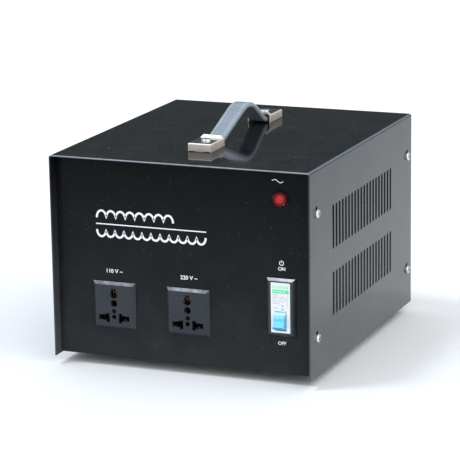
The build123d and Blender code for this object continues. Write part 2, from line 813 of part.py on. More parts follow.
def socket_back(x):
    """The plate that closes the socket's box and carries the contacts' tabs."""
    plate = slab(x, socket_body_width, socket_end_y, socket_end_y + socket_cover_sheet,
                 socket_z, socket_body_height)
    spigot = slab(x, socket_body_width - 2 * (socket_wall + press_gap), socket_end_y - socket_cover_sheet,
                  socket_end_y, socket_z, socket_body_height - 2 * (socket_wall + press_gap))
    cuts = []
    for kind, (cx, cz) in contact_places(x).items():
        cuts.append(slab(cx, contact_sheet + 2 * press_gap, socket_end_y - socket_cover_sheet - overrun,
                         socket_end_y + socket_cover_sheet + overrun, cz, tab_width(kind) + 2 * press_gap))
    return plate + spigot - cuts


def bezel():
    """The bevelled frame round the breaker's face, with a sleeve through the front panel."""
    frame = bevelled_plate(breaker_x, bezel_width, breaker_z, bezel_height, panel_y, bezel_y, bezel_bevel)
    window_width = breaker_width + 2 * seat_gap
    window_height = nose_height + 2 * seat_gap
    sleeve = slab(breaker_x, window_width + 2 * bezel_sleeve, panel_y, panel_y + bezel_collar, breaker_z,
                  window_height + 2 * bezel_sleeve)
    hole = slab(breaker_x, window_width, bezel_y - overrun, panel_y + bezel_collar + overrun, breaker_z,
                window_height)
    return frame + sleeve - hole


def breaker_outline(inset):
    """Side view of the breaker's case, as (y, z), shrunk by inset."""
    nose_half, body_half = nose_height / 2 - inset, breaker_height / 2 - inset
    notch_half = rail_notch_height / 2 + inset
    front, shoulder = nose_y + inset, nose_y + nose_depth + inset
    back, notch = nose_y + breaker_depth - inset, nose_y + breaker_depth - rail_notch_depth - inset
    lower = [(front, -nose_half), (shoulder, -nose_half), (shoulder, -body_half), (back, -body_half),
             (back, -notch_half), (notch, -notch_half)]
    upper = [(y, -z) for y, z in reversed(lower)]
    return [(y, breaker_z + z) for y, z in lower + upper]


def breaker_prism(inset, x0, x1):
    face = make_face(Plane.YZ * Polyline(*breaker_outline(inset), close=True))
    return Pos(x0, 0, 0) * extrude(face, x1 - x0, dir=(1, 0, 0))


def toggle_window(x0, x1):
    """The slot in the breaker's face that the toggle moves in."""
    inner_depth = toggle_radius - toggle_bulge - breaker_wall
    half = sqrt(toggle_radius ** 2 - max(inner_depth, 0) ** 2) + toggle_gap
    return block(x0, x1, nose_y - overrun, nose_y + breaker_wall + overrun, toggle_z - half, toggle_z + half)


def rivet_places():
    """Y and z of the rivets that hold the breaker's two half-shells together."""
    front, back = nose_y + nose_depth - nose_rivet_inset, nose_y + breaker_depth - rear_rivet_inset
    front_half, back_half = nose_height / 2 - nose_rivet_inset, breaker_height / 2 - rear_rivet_inset
    places = ((front, front_half), (back, back_half))
    return [(y, breaker_z + side * half) for y, half in places for side in (-1, 1)]


clamp_rise = (nose_height + breaker_height) / 4  # of the terminals' middles from the breaker's middle
clamp_zs = (breaker_z - clamp_rise, breaker_z + clamp_rise)
clamp_width = breaker_width - 2 * (breaker_wall + seat_gap)
clamp_head_y = nose_y + nose_depth + breaker_wall + seat_gap
clamp_front = clamp_head_y + clamp_head_height
clamp_back = clamp_front + clamp_depth
strip_y = clamp_back - clamp_sheet - press_gap - strip_sheet  # front face of the strip in the clamp
clamp_wire_y = strip_y - press_gap - lead_radius


def breaker_half(side):
    """One half-shell of the breaker's case, open towards the other half."""
    x_mid, x_out = breaker_x, breaker_x + side * breaker_width / 2
    x_floor = x_out - side * breaker_wall
    low, high = min(x_mid, x_out), max(x_mid, x_out)
    x_open = x_mid - side * overrun
    shell = breaker_prism(0, low, high)
    shell -= breaker_prism(breaker_wall, min(x_open, x_floor), max(x_open, x_floor))
    for y, z in rivet_places():
        shell += rod_x(x_mid, x_floor, y, z, rivet_radius + breaker_wall)
    shell += rod_x(x_floor, x_floor - side * hub_reach(), toggle_y, toggle_z, toggle_pin_radius + breaker_wall)
    shell += rod_x(x_floor, x_floor - side * arm_hub_reach(), arm_y, arm_z, arm_pin_radius + breaker_wall)
    cuts = [rod_x(x_open, x_out + side * overrun, y, z, rivet_radius + thread_gap)
            for y, z in rivet_places()]
    half_window = toggle_width / 2 + toggle_gap
    cuts.append(toggle_window(breaker_x - half_window, breaker_x + half_window))
    pin_end = x_floor + side * breaker_wall / 2
    cuts.append(rod_x(x_mid, pin_end, toggle_y, toggle_z, toggle_pin_radius + thread_gap))
    cuts.append(rod_x(x_mid, pin_end, arm_y, arm_z, arm_pin_radius + thread_gap))
    for z, end in zip(clamp_zs, (-1, 1)):
        cuts.append(rod_y(breaker_x, nose_y + nose_depth - overrun, clamp_head_y, z,
                          clamp_head_radius + seat_gap))
        cuts.append(rod_z(breaker_x, clamp_wire_y, z, breaker_z + end * (breaker_height / 2 + overrun),
                          lead_radius + seat_gap))
    return shell - cuts


def hub_reach():
    """Height of the bosses beside the toggle's drum."""
    return breaker_width / 2 - breaker_wall - toggle_width / 2 - seat_gap


def arm_hub_reach():
    return breaker_width / 2 - breaker_wall - arm_width / 2 - seat_gap


def polar(radius, angle):
    """A point of the toggle's side view: angle above the horizontal, radius towards the front."""
    return (toggle_y - radius * cos(radians(angle)), toggle_z + radius * sin(radians(angle)))


def toggle():
    """A drum on a cross pin with the finger tab that stands out of the breaker's face."""
    half = toggle_width / 2
    drum = rod_x(breaker_x - half, breaker_x + half, toggle_y, toggle_z, toggle_radius)
    reach = toggle_radius + lever_reach
    points = [polar(toggle_radius - seat_gap, lever_root_angle), polar(reach, lever_tip_angle),
              polar(reach, lever_tip_angle - lever_tip_blunt),
              polar(toggle_radius - seat_gap, lever_foot_angle),
              polar(toggle_radius / 2, (lever_root_angle + lever_foot_angle) / 2)]
    tab = extrude(make_face(Plane.YZ * Polyline(*points, close=True)), toggle_width, dir=(1, 0, 0))
    tab = Pos(breaker_x - half, 0, 0) * tab
    bore = rod_x(breaker_x - half - overrun, breaker_x + half + overrun, toggle_y, toggle_z,
                 toggle_pin_radius + press_gap)
    return drum + tab - bore


def breaker_pins():
    """The pins that the toggle and the contact arm turn on."""
    half = breaker_width / 2 - breaker_wall
    return [rod_x(breaker_x - half, breaker_x + half, toggle_y, toggle_z, toggle_pin_radius),
            rod_x(breaker_x - half, breaker_x + half, arm_y, arm_z, arm_pin_radius)]


def contact_arm():
    """The moving contact, drawn open. It swings towards the front to meet the fixed contact."""
    half = arm_width / 2
    bar = slab(0, arm_width, -arm_thickness / 2, arm_thickness / 2, arm_length / 2, arm_length)
    bar = Pos(breaker_x, arm_y, arm_z) * Rot(quarter_turn - arm_angle, 0, 0) * bar
    hub = rod_x(breaker_x - half, breaker_x + half, arm_y, arm_z, arm_hub_radius)
    bore = rod_x(breaker_x - half - overrun, breaker_x + half + overrun, arm_y, arm_z,
                 arm_pin_radius + press_gap)
    return bar + hub - bore


def fixed_contact():
    """The anvil behind the closed arm, on a strip that runs up into the upper terminal."""
    closed = radians(arm_angle + arm_travel)
    reach = arm_length - anvil_length / 2
    anvil = slab(0, arm_width, -anvil_thickness / 2, anvil_thickness / 2, 0, anvil_length)
    off = (arm_thickness + anvil_thickness) / 2 + press_gap
    y = arm_y - reach * cos(closed) + off * sin(closed)
    z = arm_z + reach * sin(closed) + off * cos(closed)
    anvil = Pos(breaker_x, y, z) * Rot(quarter_turn - degrees(closed), 0, 0) * anvil
    top = z + anvil_length / 2 * sin(closed)
    foot = slab(breaker_x, arm_width, y, strip_y + strip_sheet, top - strip_sheet / 2, strip_sheet)
    upright = slab(breaker_x, arm_width, strip_y, strip_y + strip_sheet, (top + clamp_zs[1]) / 2,
                   clamp_zs[1] + clamp_height / 2 - top + strip_sheet)
    return anvil + foot + upright


def trip_coil():
    top = clamp_zs[1] - clamp_height / 2 - seat_gap
    return rod_z(breaker_x, clamp_head_y + coil_radius, top - coil_length, top, coil_radius)


def arc_chute():
    """A stack of splitter plates beside the contacts."""
    y1 = nose_y + breaker_depth - rail_notch_depth - breaker_wall - seat_gap
    z0 = breaker_z - (chute_plates - 1) * chute_pitch / 2
    return [slab(breaker_x, clamp_width, y1 - chute_depth, y1, z0 + n * chute_pitch, chute_plate_sheet)
            for n in range(chute_plates)]


def breaker_clamps():
    """A brass cage at each terminal, open upwards and downwards for the lead."""
    made = []
    for z in clamp_zs:
        cage = slab(breaker_x, clamp_width, clamp_front, clamp_back, z, clamp_height)
        inner = slab(breaker_x, clamp_width - 2 * clamp_sheet, clamp_front + clamp_sheet,
                     clamp_back - clamp_sheet, z, clamp_height + 2 * overrun)
        hole = rod_y(breaker_x, clamp_front - overrun, clamp_front + clamp_sheet + overrun, z,
                     clamp_screw_radius + thread_gap)
        made.append(cage - inner - hole)
    return made


def breaker_screws():
    screw = pan_screw(clamp_screw_radius, clamp_screw_length, clamp_head_radius, clamp_head_height)
    return [Pos(breaker_x, clamp_front, z) * Rot(quarter_turn, 0, 0) * screw for z in clamp_zs]


def breaker_rivets():
    """Tubular rivets with a head on each side of the case."""
    half = breaker_width / 2
    made = []
    for y, z in rivet_places():
        shank = rod_x(breaker_x - half, breaker_x + half, y, z, rivet_radius)
        for side in (-1, 1):
            edge = breaker_x + side * half
            shank += rod_x(edge, edge + side * rivet_head_height, y, z, rivet_head_radius)
        made.append(shank)
    return made


def stirrup_stud_zs():
    half = breaker_height / 2 + seat_gap + strap_sheet + stirrup_foot / 2
    return [breaker_z - half, breaker_z + half]


def stirrup():
    """The folded steel strap that holds the breaker from behind, on two studs of the panel."""
    half = stirrup_width / 2
    inside = breaker_height / 2 + seat_gap
    outside = inside + strap_sheet
    back = nose_y + breaker_depth + seat_gap
    x0, x1 = breaker_x - half, breaker_x + half
    frame = block(x0, x1, panel_back, back + strap_sheet, breaker_z - outside, breaker_z + outside)
    frame -= block(x0 - overrun, x1 + overrun, panel_back - overrun, back, breaker_z - inside,
                   breaker_z + inside)
    for side, z in zip((-1, 1), stirrup_stud_zs()):
        frame += block(x0, x1, panel_back, panel_back + strap_sheet, breaker_z + side * inside,
                       breaker_z + side * (outside + stirrup_foot))
        frame -= rod_y(breaker_x, panel_back - overrun, panel_back + strap_sheet + overrun, z,
                       stud_radius + thread_gap)
    frame -= rod_z(breaker_x, clamp_wire_y, breaker_z - outside - overrun, breaker_z + outside + overrun,
                   lead_radius + 2 * seat_gap)
    return frame


lamp_flange_y = panel_y - lamp_flange_height
lamp_lens_y = lamp_flange_y - lamp_lens_height


def lamp_lens():
    """A hollow red lens: a round rim with a faceted cap raised in its middle."""
    rim = rod_y(lamp_x, lamp_lens_y, lamp_flange_y, lamp_z, lamp_radius)
    rim = chamfer(rim.faces().sort_by(Axis.Y)[0].edges(), lamp_shell / 2)
    at_face = Plane(origin=(lamp_x, lamp_lens_y, lamp_z), x_dir=(1, 0, 0), z_dir=(0, -1, 0))
    cap = loft([at_face * RegularPolygon(lamp_dome_radius, lamp_dome_sides),
                at_face.offset(lamp_dome_height) * RegularPolygon(lamp_dome_radius / 2, lamp_dome_sides)])
    hollow = rod_y(lamp_x, lamp_lens_y + lamp_shell, lamp_flange_y + overrun, lamp_z,
                   lamp_barrel_radius - lamp_shell)
    return rim + cap - hollow


def lamp_barrel():
    """The lamp's body: a flange under the lens and a barrel through the panel."""
    flange = rod_y(lamp_x, lamp_flange_y, panel_y, lamp_z, lamp_radius)
    end = panel_y + lamp_barrel_length
    barrel = rod_y(lamp_x, panel_y, end, lamp_z, lamp_barrel_radius)
    hollow = rod_y(lamp_x, lamp_flange_y - overrun, end - lamp_shell, lamp_z,
                   lamp_barrel_radius - lamp_shell)
    body = flange + barrel - hollow
    for side in (-1, 1):
        x = lamp_x + side * lamp_tab_pitch / 2
        body -= slab(x, lamp_tab_sheet + 2 * press_gap, end - lamp_shell - overrun, end + overrun, lamp_z,
                     lamp_tab_width + 2 * press_gap)
    return body


def lamp_neon():
    y0 = lamp_lens_y + lamp_shell + seat_gap
    tube = rod_y(lamp_x, y0, y0 + neon_length, lamp_z, neon_radius)
    return fillet(tube.faces().sort_by(Axis.Y)[0].edges(), neon_radius / 2)


def lamp_tabs():
    """Two solder tabs that also carry the neon bulb inside the barrel."""
    end = panel_y + lamp_barrel_length
    start = lamp_lens_y + lamp_shell + seat_gap + neon_length + press_gap
    return [slab(lamp_x + side * lamp_tab_pitch / 2, lamp_tab_sheet, start, end + lamp_tab_length, lamp_z,
                 lamp_tab_width) for side in (-1, 1)]


def lamp_nut():
    nut = hex_nut(lamp_nut_width, lamp_nut_height, lamp_barrel_radius)
    return facing_back(nut, lamp_x, panel_back, lamp_z)


def turned(section, gap_angle=0.0, start_angle=0.0):
    """Revolves a section, drawn as (radius, z), round the transformer's axis.

    It starts at start_angle past the front and leaves out gap_angle of the full turn.
    """
    ring = revolve(Plane.XZ * section, Axis.Z, full_turn - gap_angle)
    return Pos(0, transformer_y, 0) * Rot(0, 0, start_angle - quarter_turn) * ring


def ring_section(inner, outer, z0, z1, round_radius):
    face = Pos((inner + outer) / 2, (z0 + z1) / 2) * RectangleRounded(outer - inner, z1 - z0, round_radius)
    return face


def winding_section(inset):
    """Outside of the wrapped coil's section, shrunk by inset."""
    return ring_section(transformer_bore / 2 + inset, transformer_diameter / 2 - inset, winding_z + inset,
                        winding_top - inset, winding_round - inset)


core_inner = transformer_bore / 2 + wrap_thickness + inner_winding
core_outer = transformer_diameter / 2 - wrap_thickness - outer_winding
core_z0 = winding_z + wrap_thickness + end_winding
core_z1 = winding_top - wrap_thickness - end_winding


def core_section(grow):
    return Pos((core_inner + core_outer) / 2, (core_z0 + core_z1) / 2) * Rectangle(
        core_outer - core_inner + 2 * grow, core_z1 - core_z0 + 2 * grow)


def core():
    ring = turned(core_section(0))
    return chamfer(ring.edges().filter_by(GeomType.CIRCLE), core_chamfer)


def winding():
    """The coil's banks, side by side round the core."""
    step = (full_turn - winding_gap_angle + bank_gap_angle) / bank_count
    section = winding_section(wrap_thickness) - core_section(press_gap)
    return [turned(section, full_turn - step + bank_gap_angle, winding_gap_angle / 2 + n * step)
            for n in range(bank_count)]


def wrap():
    """The insulating tape over the coil."""
    return turned(winding_section(0) - winding_section(wrap_thickness - press_gap), winding_gap_angle,
                  winding_gap_angle / 2)


def lower_pad():
    return ring_z(0, transformer_y, base_z, winding_z, lower_pad_diameter / 2, bolt_radius + seat_gap)


def upper_pad():
    return ring_z(0, transformer_y, winding_top, winding_top + pad_thickness, upper_pad_diameter / 2,
                  dish_mouth_radius + dish_sheet)


def dish():
    """The dished steel washer that presses the coil down, sunk into the coil's bore."""
    rim_z = winding_top + pad_thickness
    low_z = rim_z - dish_sink
    radius = dish_diameter / 2
    hole = bolt_radius + thread_gap
    points = [(hole, low_z), (dish_flat_radius, low_z), (dish_mouth_radius, rim_z), (radius, rim_z),
              (radius, rim_z + dish_sheet), (dish_mouth_radius - dish_sheet / 2, rim_z + dish_sheet),
              (dish_flat_radius - dish_sheet / 2, low_z + dish_sheet), (hole, low_z + dish_sheet)]
    return turned(make_face(Polyline(*points, close=True)))


dish_seat_z = winding_top + pad_thickness - dish_sink + dish_sheet


def bolt():
    """The hexagon-head bolt through the tray, the coil's bore and the dished washer."""
    end = dish_seat_z + bolt_washer_sheet + bolt_nut_height + bolt_spare
    shank = rod_z(0, transformer_y, tray_z, end, bolt_radius)
    head = Pos(0, transformer_y, tray_z - bolt_head_height) * hex_prism(bolt_head_width, bolt_head_height)
    return shank + head


def bolt_washer():
    return ring_z(0, transformer_y, dish_seat_z, dish_seat_z + bolt_washer_sheet, bolt_washer_radius,
                  bolt_radius + thread_gap)


def bolt_nut():
    nut = hex_nut(bolt_head_width, bolt_nut_height, bolt_radius)
    return Pos(0, transformer_y, dish_seat_z + bolt_washer_sheet) * nut


gland_flange_y = back_y + gland_flange
gland_end_y = gland_flange_y + gland_cap_reach


def gland_body():
    flange = facing_back(hex_prism(gland_width, gland_flange), gland_x, back_y, gland_z)
    thread = rod_y(gland_x, back_front - gland_tail, gland_flange_y + gland_spigot, gland_z,
                   gland_thread_radius)
    bore = rod_y(gland_x, back_front - gland_tail - overrun, gland_end_y, gland_z, gland_bore_radius)
    return flange + thread - bore


def gland_nut():
    nut = hex_nut(gland_width, gland_nut_height, gland_thread_radius)
    return facing_back(nut, gland_x, back_front - gland_nut_height, gland_z)


def gland_cap():
    """The dome nut that squeezes the seal on the cable."""
    start = gland_flange_y + press_gap
    hexagon = hex_prism(gland_cap_width, gland_cap_reach - gland_cap_wall - press_gap)
    hexagon = facing_back(hexagon, gland_x, start, gland_z)
    neck = rod_y(gland_x, start, gland_end_y, gland_z, gland_thread_radius + gland_cap_wall / 2)
    neck = fillet(neck.faces().sort_by(Axis.Y)[-1].edges(), gland_cap_wall / 2)
    cavity = rod_y(gland_x, start - overrun, gland_end_y - gland_cap_wall, gland_z,
                   gland_thread_radius + thread_gap)
    hole = rod_y(gland_x, start, gland_end_y + overrun, gland_z, gland_cap_hole_radius)
    return hexagon + neck - cavity - hole


def gland_seal():
    y0 = gland_flange_y + gland_spigot + press_gap
    y1 = gland_end_y - gland_cap_wall - press_gap
    return ring_y(gland_x, y0, y1, gland_z, gland_thread_radius, seal_bore_radius)


block_x0 = -tray_half + tray_sheet + block_side_gap
block_y1 = back_front - block_end_gap
block_y0 = block_y1 - block_depth
block_middle_y = (block_y0 + block_y1) / 2
block_wire_z = base_z + block_height / 3
block_xs = [block_x0 + (n + 1 / 2) * block_width / block_poles for n in range(block_poles)]


def terminal_block():
    """A moulded block on the tray with a wire tunnel and a screw well for each pole."""
    body = block(block_x0, block_x0 + block_width, block_y0, block_y1, base_z, base_z + block_height)
    cuts = []
    for x in block_xs:
        cuts.append(rod_y(x, block_y0 - overrun, block_y1 + overrun, block_wire_z, block_wire_radius))
        cuts.append(rod_z(x, block_middle_y, base_z + block_height - block_screw_depth,
                          base_z + block_height + overrun, block_screw_head_radius + thread_gap))
    return body - cuts


def block_screws():
    floor = base_z + block_height - block_screw_depth
    screw = pan_screw(block_screw_radius, seat_gap, block_screw_head_radius, block_screw_head_height)
    return [Pos(x, block_middle_y, floor + seat_gap) * screw for x in block_xs]


def selector_screw_xs():
    return [selector_x - selector_screw_pitch / 2, selector_x + selector_screw_pitch / 2]


selector_plate_y = back_front - selector_plate_sheet
selector_floor_y = selector_plate_y - selector_body_depth


def selector_body():
    """The slide switch's plate behind the rear panel and the moulded box on it."""
    plate = slab(selector_x, selector_plate_width, selector_plate_y, back_front, selector_z,
                 selector_plate_height)
    box = slab(selector_x, selector_body_width, selector_floor_y, selector_plate_y, selector_z,
               selector_body_height)
    window = slab(selector_x, selector_window_width, selector_plate_y - overrun, back_front + overrun,
                  selector_z, selector_window_height)
    cavity = slab(selector_x, selector_window_width + 2 * selector_flange, selector_floor_y + selector_wall,
                  selector_plate_y, selector_z, selector_knob_height + 2 * (selector_flange + seat_gap))
    body = plate + box - window - cavity
    for x in selector_screw_xs():
        body -= rod_y(x, selector_plate_y - overrun, back_front + overrun, selector_z,
                      selector_screw_radius + thread_gap)
    for n in (-1, 0, 1):
        body -= slab(selector_x + n * selector_tab_pitch, selector_tab_sheet + 2 * press_gap,
                     selector_floor_y - overrun, selector_floor_y + selector_wall + overrun, selector_z,
                     selector_tab_width + 2 * press_gap)
    return body


def selector_knob():
    """The sliding knob, drawn at the left end of its travel, with a blade slot in its face."""
    x = selector_x - selector_travel / 2
    front = back_y - selector_knob_sink
    root_y = selector_floor_y + selector_wall + selector_tab_sheet + 2 * seat_gap
    knob = slab(x, selector_knob_width, root_y, front, selector_z, selector_knob_height)
    root = slab(x, selector_knob_width + selector_flange, root_y, selector_plate_y - seat_gap, selector_z,
                selector_knob_height + 2 * selector_flange)
    blade = slab(x, 2 * selector_tab_sheet, front - selector_flange, front + overrun, selector_z,
                 selector_knob_height + overrun)
    return knob + root - blade


def selector_tabs():
    """Three contacts through the switch's floor."""
    y0 = selector_floor_y - selector_tab_length
    y1 = selector_floor_y + selector_wall + selector_tab_sheet
    return [slab(selector_x + n * selector_tab_pitch, selector_tab_sheet, y0, y1, selector_z,
                 selector_tab_width) for n in (-1, 0, 1)]


def selector_screws():
    screw = pan_screw(selector_screw_radius, selector_screw_length, selector_head_radius,
                      selector_head_height)
    return [facing_back(screw, x, back_y, selector_z) for x in selector_screw_xs()]


def selector_nuts():
    nut = hex_nut(selector_nut_width, selector_nut_height, selector_screw_radius)
    return [facing_back(nut, x, selector_plate_y - selector_nut_height, selector_z)
            for x in selector_screw_xs()]


def lead(points, bends, radius=lead_radius):
    """A lead along straight runs joined by arcs; bends holds one radius for each corner."""
    path = FilletPolyline(*points, radius=bends) if len(points) > 2 else Line(*points)
    start, following = Vector(*points[0]), Vector(*points[1])
    return sweep(Plane(origin=start, z_dir=following - start) * Circle(radius), path=path)


def socket_leads():
    """Leads from the sockets' tabs to the winding, and the earth leads."""
    end_y = tab_end_y + press_gap
    start_y = transformer_y - core_outer - seat_gap
    bend_y = (transformer_y - transformer_diameter / 2 + tab_end_y) / 2
    first, second = contact_places(socket_xs[0]), contact_places(socket_xs[1])
    blade_z = first["line"][1]
    upper_z = winding_top - upper_tap_drop
    line_x, neutral_x = second["line"][0], second["neutral"][0]
    leads = [lead([(line_x, start_y, blade_z), (line_x, end_y, blade_z)], [])]
    leads.append(lead([(front_tap_x, start_y, blade_z), (front_tap_x, bend_y + lead_bend, blade_z),
                       (neutral_x, bend_y - lead_bend / 2, blade_z), (neutral_x, end_y, blade_z)],
                      [lead_bend] * 2))
    for x0, z0, kind in ((-front_tap_x, upper_z, "neutral"), (0, upper_z + line_tap_rise, "line")):
        x1 = first[kind][0]
        leads.append(lead([(x0, start_y, z0), (x0, bend_y + lead_bend, z0), (x1, bend_y, blade_z),
                           (x1, end_y, blade_z)], [lead_bend] * 2))
    (x0, z), (x1, z) = first["earth"], second["earth"]
    low_z, high_z = z - earth_tab_width / 4, z + earth_tab_width / 4
    link_y = end_y + lead_bend + seat_gap
    leads.append(lead([(x0, end_y, low_z), (x0, link_y, low_z), (x1, link_y, low_z), (x1, end_y, low_z)],
                      [lead_bend] * 2))
    aisle_y = link_y + 2 * lead_radius + lead_bend
    lane_x = block_xs[2]
    leads.append(lead([(lane_x, block_middle_y, block_wire_z), (lane_x, aisle_y, block_wire_z),
                       (lane_x, aisle_y, high_z), (x0, aisle_y, high_z), (x0, end_y, high_z)],
                      [lead_bend] * 3))
    return leads


def power_leads():
    """Leads from the terminal block and the breaker to each other and to the winding."""
    start_y = transformer_y - core_outer - seat_gap
    first_x, second_x = block_xs[0], block_xs[1]
    low_end = clamp_zs[0] + clamp_height / 4
    line = lead([(first_x, block_middle_y, block_wire_z), (first_x, clamp_wire_y, block_wire_z),
                 (breaker_x, clamp_wire_y, block_wire_z), (breaker_x, clamp_wire_y, low_end)],
                [long_lead_bend, lead_bend])
    aisle_y = transformer_y - transformer_diameter / 2 - lead_aisle
    tap_z = block_wire_z + lead_rise
    neutral = lead([(second_x, block_middle_y, block_wire_z), (second_x, aisle_y, block_wire_z),
                    (0, aisle_y, block_wire_z), (0, aisle_y, tap_z), (0, start_y, tap_z)],
                   [long_lead_bend, lead_rise / 2 - thread_gap, lead_rise / 2 - thread_gap])
    high_z = winding_top + breaker_lead_rise
    tap_y = top_tap_ys[0]
    upper = lead([(breaker_x, clamp_wire_y, clamp_zs[1] - clamp_height / 4),
                  (breaker_x, clamp_wire_y, high_z), (tap_x, tap_y, high_z), (tap_x, tap_y, tap_foot_z)],
                 [lead_bend, lead_bend])
    return [line, neutral, upper]


top_tap_ys = [transformer_y - core_outer + tap_depth + n * tap_pitch for n in range(3)]
tap_foot_z = core_z1 + seat_gap


def selector_leads():
    """Leads from the voltage selector over the transformer to the taps in the winding's top."""
    start_y = selector_floor_y - selector_tab_length - press_gap
    ends = ((tap_x, top_tap_ys[2]), (tap_x, top_tap_ys[1]), (-tap_x, top_tap_ys[0]))
    leads = []
    for n, (x, y) in enumerate(ends):
        tab_x = selector_x + (n - 1) * selector_tab_pitch
        leads.append(lead([(tab_x, start_y, selector_z), (tab_x, y, selector_z), (x, y, selector_z),
                           (x, y, tap_foot_z)], [long_lead_bend, lead_bend]))
    return leads


def lamp_leads():
    start_y = panel_y + lamp_barrel_length + lamp_tab_length + press_gap
    leads = []
    for side, y in ((-1, top_tap_ys[1]), (1, top_tap_ys[2])):
        x = lamp_x + side * lamp_tab_pitch / 2
        high_z = winding_top + lamp_lead_rise + side * thin_lead_radius * 2
        leads.append(lead([(x, start_y, lamp_z), (x, start_y + lamp_lead_run, lamp_z), (-tap_x, y, high_z),
                           (-tap_x, y, tap_foot_z)], [lead_bend] * 2, thin_lead_radius))
    return leads


def sub_parts():
    """Each node's name and its solid or solids."""
    parts = {
        "top_cover": top_cover(), "chassis_tray": tray(), "cover_screws": cover_screws(),
        "small_nuts": small_nuts(), "rubber_feet": feet(), "foot_screws": foot_screws(),
        "handle_cap_front": handle_cap(-1), "handle_cap_rear": handle_cap(1),
        "handle_strap": handle_strap(), "handle_spring_strip": handle_strip(),
        "handle_screws": handle_screws(), "handle_backing_plates": handle_plates(),
        "handle_nuts": handle_nuts(),
        "breaker_bezel": bezel(), "breaker_case_left": breaker_half(-1),
        "breaker_case_right": breaker_half(1), "breaker_toggle": toggle(), "contact_arm": contact_arm(),
        "breaker_pins": breaker_pins(), "fixed_contact": fixed_contact(), "trip_coil": trip_coil(),
        "arc_chute": arc_chute(), "breaker_clamps": breaker_clamps(), "breaker_screws": breaker_screws(),
        "breaker_rivets": breaker_rivets(), "breaker_stirrup": stirrup(),
        "lamp_lens": lamp_lens(), "lamp_barrel": lamp_barrel(), "lamp_neon": lamp_neon(),
        "lamp_tabs": lamp_tabs(), "lamp_nut": lamp_nut(),
        "transformer_core": core(), "transformer_winding": winding(), "transformer_wrap": wrap(),
        "lower_pad": lower_pad(), "upper_pad": upper_pad(), "dished_washer": dish(),
        "transformer_bolt": bolt(), "bolt_washer": bolt_washer(), "bolt_nut": bolt_nut(),
        "gland_body": gland_body(), "gland_nut": gland_nut(), "gland_cap": gland_cap(),
        "gland_seal": gland_seal(), "terminal_block": terminal_block(), "block_screws": block_screws(),
        "selector_body": selector_body(), "selector_knob": selector_knob(), "selector_tabs": selector_tabs(),
        "selector_screws": selector_screws(), "selector_nuts": selector_nuts(),
        "power_leads": power_leads(), "socket_leads": socket_leads(),
        "selector_and_lamp_leads": selector_leads() + lamp_leads(),
    }
    for name, x in zip(("socket_110", "socket_220"), socket_xs):
        parts[name + "_housing"] = socket_housing(x)
        parts[name + "_back"] = socket_back(x)
        parts[name + "_contacts"] = [socket_contact(x, kind) for kind in ("line", "neutral", "earth")]
    return parts


os.makedirs("parts", exist_ok=True)
for node, shape in sub_parts().items():
    solids = []
    for piece in (shape if isinstance(shape, list) else [shape]):
        solids += piece.solids()
    export_step(Compound(children=solids) if len(solids) > 1 else solids[0], f"parts/{node}.step")
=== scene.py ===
import json
import math

import bmesh
import bpy
from mathutils import Matrix, Vector

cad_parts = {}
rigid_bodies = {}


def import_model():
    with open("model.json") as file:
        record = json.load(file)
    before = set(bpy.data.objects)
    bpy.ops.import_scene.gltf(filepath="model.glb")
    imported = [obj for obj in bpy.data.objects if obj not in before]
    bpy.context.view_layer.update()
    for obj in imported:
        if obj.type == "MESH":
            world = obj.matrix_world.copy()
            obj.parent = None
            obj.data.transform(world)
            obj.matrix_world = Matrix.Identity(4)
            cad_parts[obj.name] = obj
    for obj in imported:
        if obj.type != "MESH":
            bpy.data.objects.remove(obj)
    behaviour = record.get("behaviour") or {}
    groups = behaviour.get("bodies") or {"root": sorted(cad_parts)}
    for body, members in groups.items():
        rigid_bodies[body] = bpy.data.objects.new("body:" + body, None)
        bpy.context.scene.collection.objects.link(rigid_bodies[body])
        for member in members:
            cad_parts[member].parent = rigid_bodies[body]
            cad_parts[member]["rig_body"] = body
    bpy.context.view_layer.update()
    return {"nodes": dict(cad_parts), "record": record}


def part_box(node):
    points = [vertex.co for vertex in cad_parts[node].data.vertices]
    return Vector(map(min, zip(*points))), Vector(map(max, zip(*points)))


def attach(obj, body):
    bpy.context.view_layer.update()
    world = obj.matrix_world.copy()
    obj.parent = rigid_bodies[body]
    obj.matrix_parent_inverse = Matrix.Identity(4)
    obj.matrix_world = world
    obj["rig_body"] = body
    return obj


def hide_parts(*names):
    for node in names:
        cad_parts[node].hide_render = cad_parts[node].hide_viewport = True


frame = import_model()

MM = 0.001
cover_low, cover_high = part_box("top_cover")
tray_low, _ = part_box("chassis_tray")
breaker_low, breaker_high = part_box("breaker_case_left")
lens_low, lens_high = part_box("lamp_lens")
node_slots = {s["node"]: s["material_slot"] for s in frame["record"]["subparts"]}


def on_case(x, z):
    """A place on the front panel, given in millimetres from the cover's lower left corner."""
    return cover_low.x + x * MM, cover_low.z + z * MM


# Camera, at the photograph's viewing angle
CAMERA_FROM_COVER = Vector((939.75, -1873.44, 621.65)) * MM
CAMERA_AZIMUTH = math.radians(22.27)
CAMERA_ELEVATION = math.radians(13.65)
CAMERA_ROLL = math.radians(-0.85)
FOCAL_PIXELS = 2410.96
IMAGE_PIXELS = 460
SENSOR_WIDTH = 36
VIEW_REACH = 50


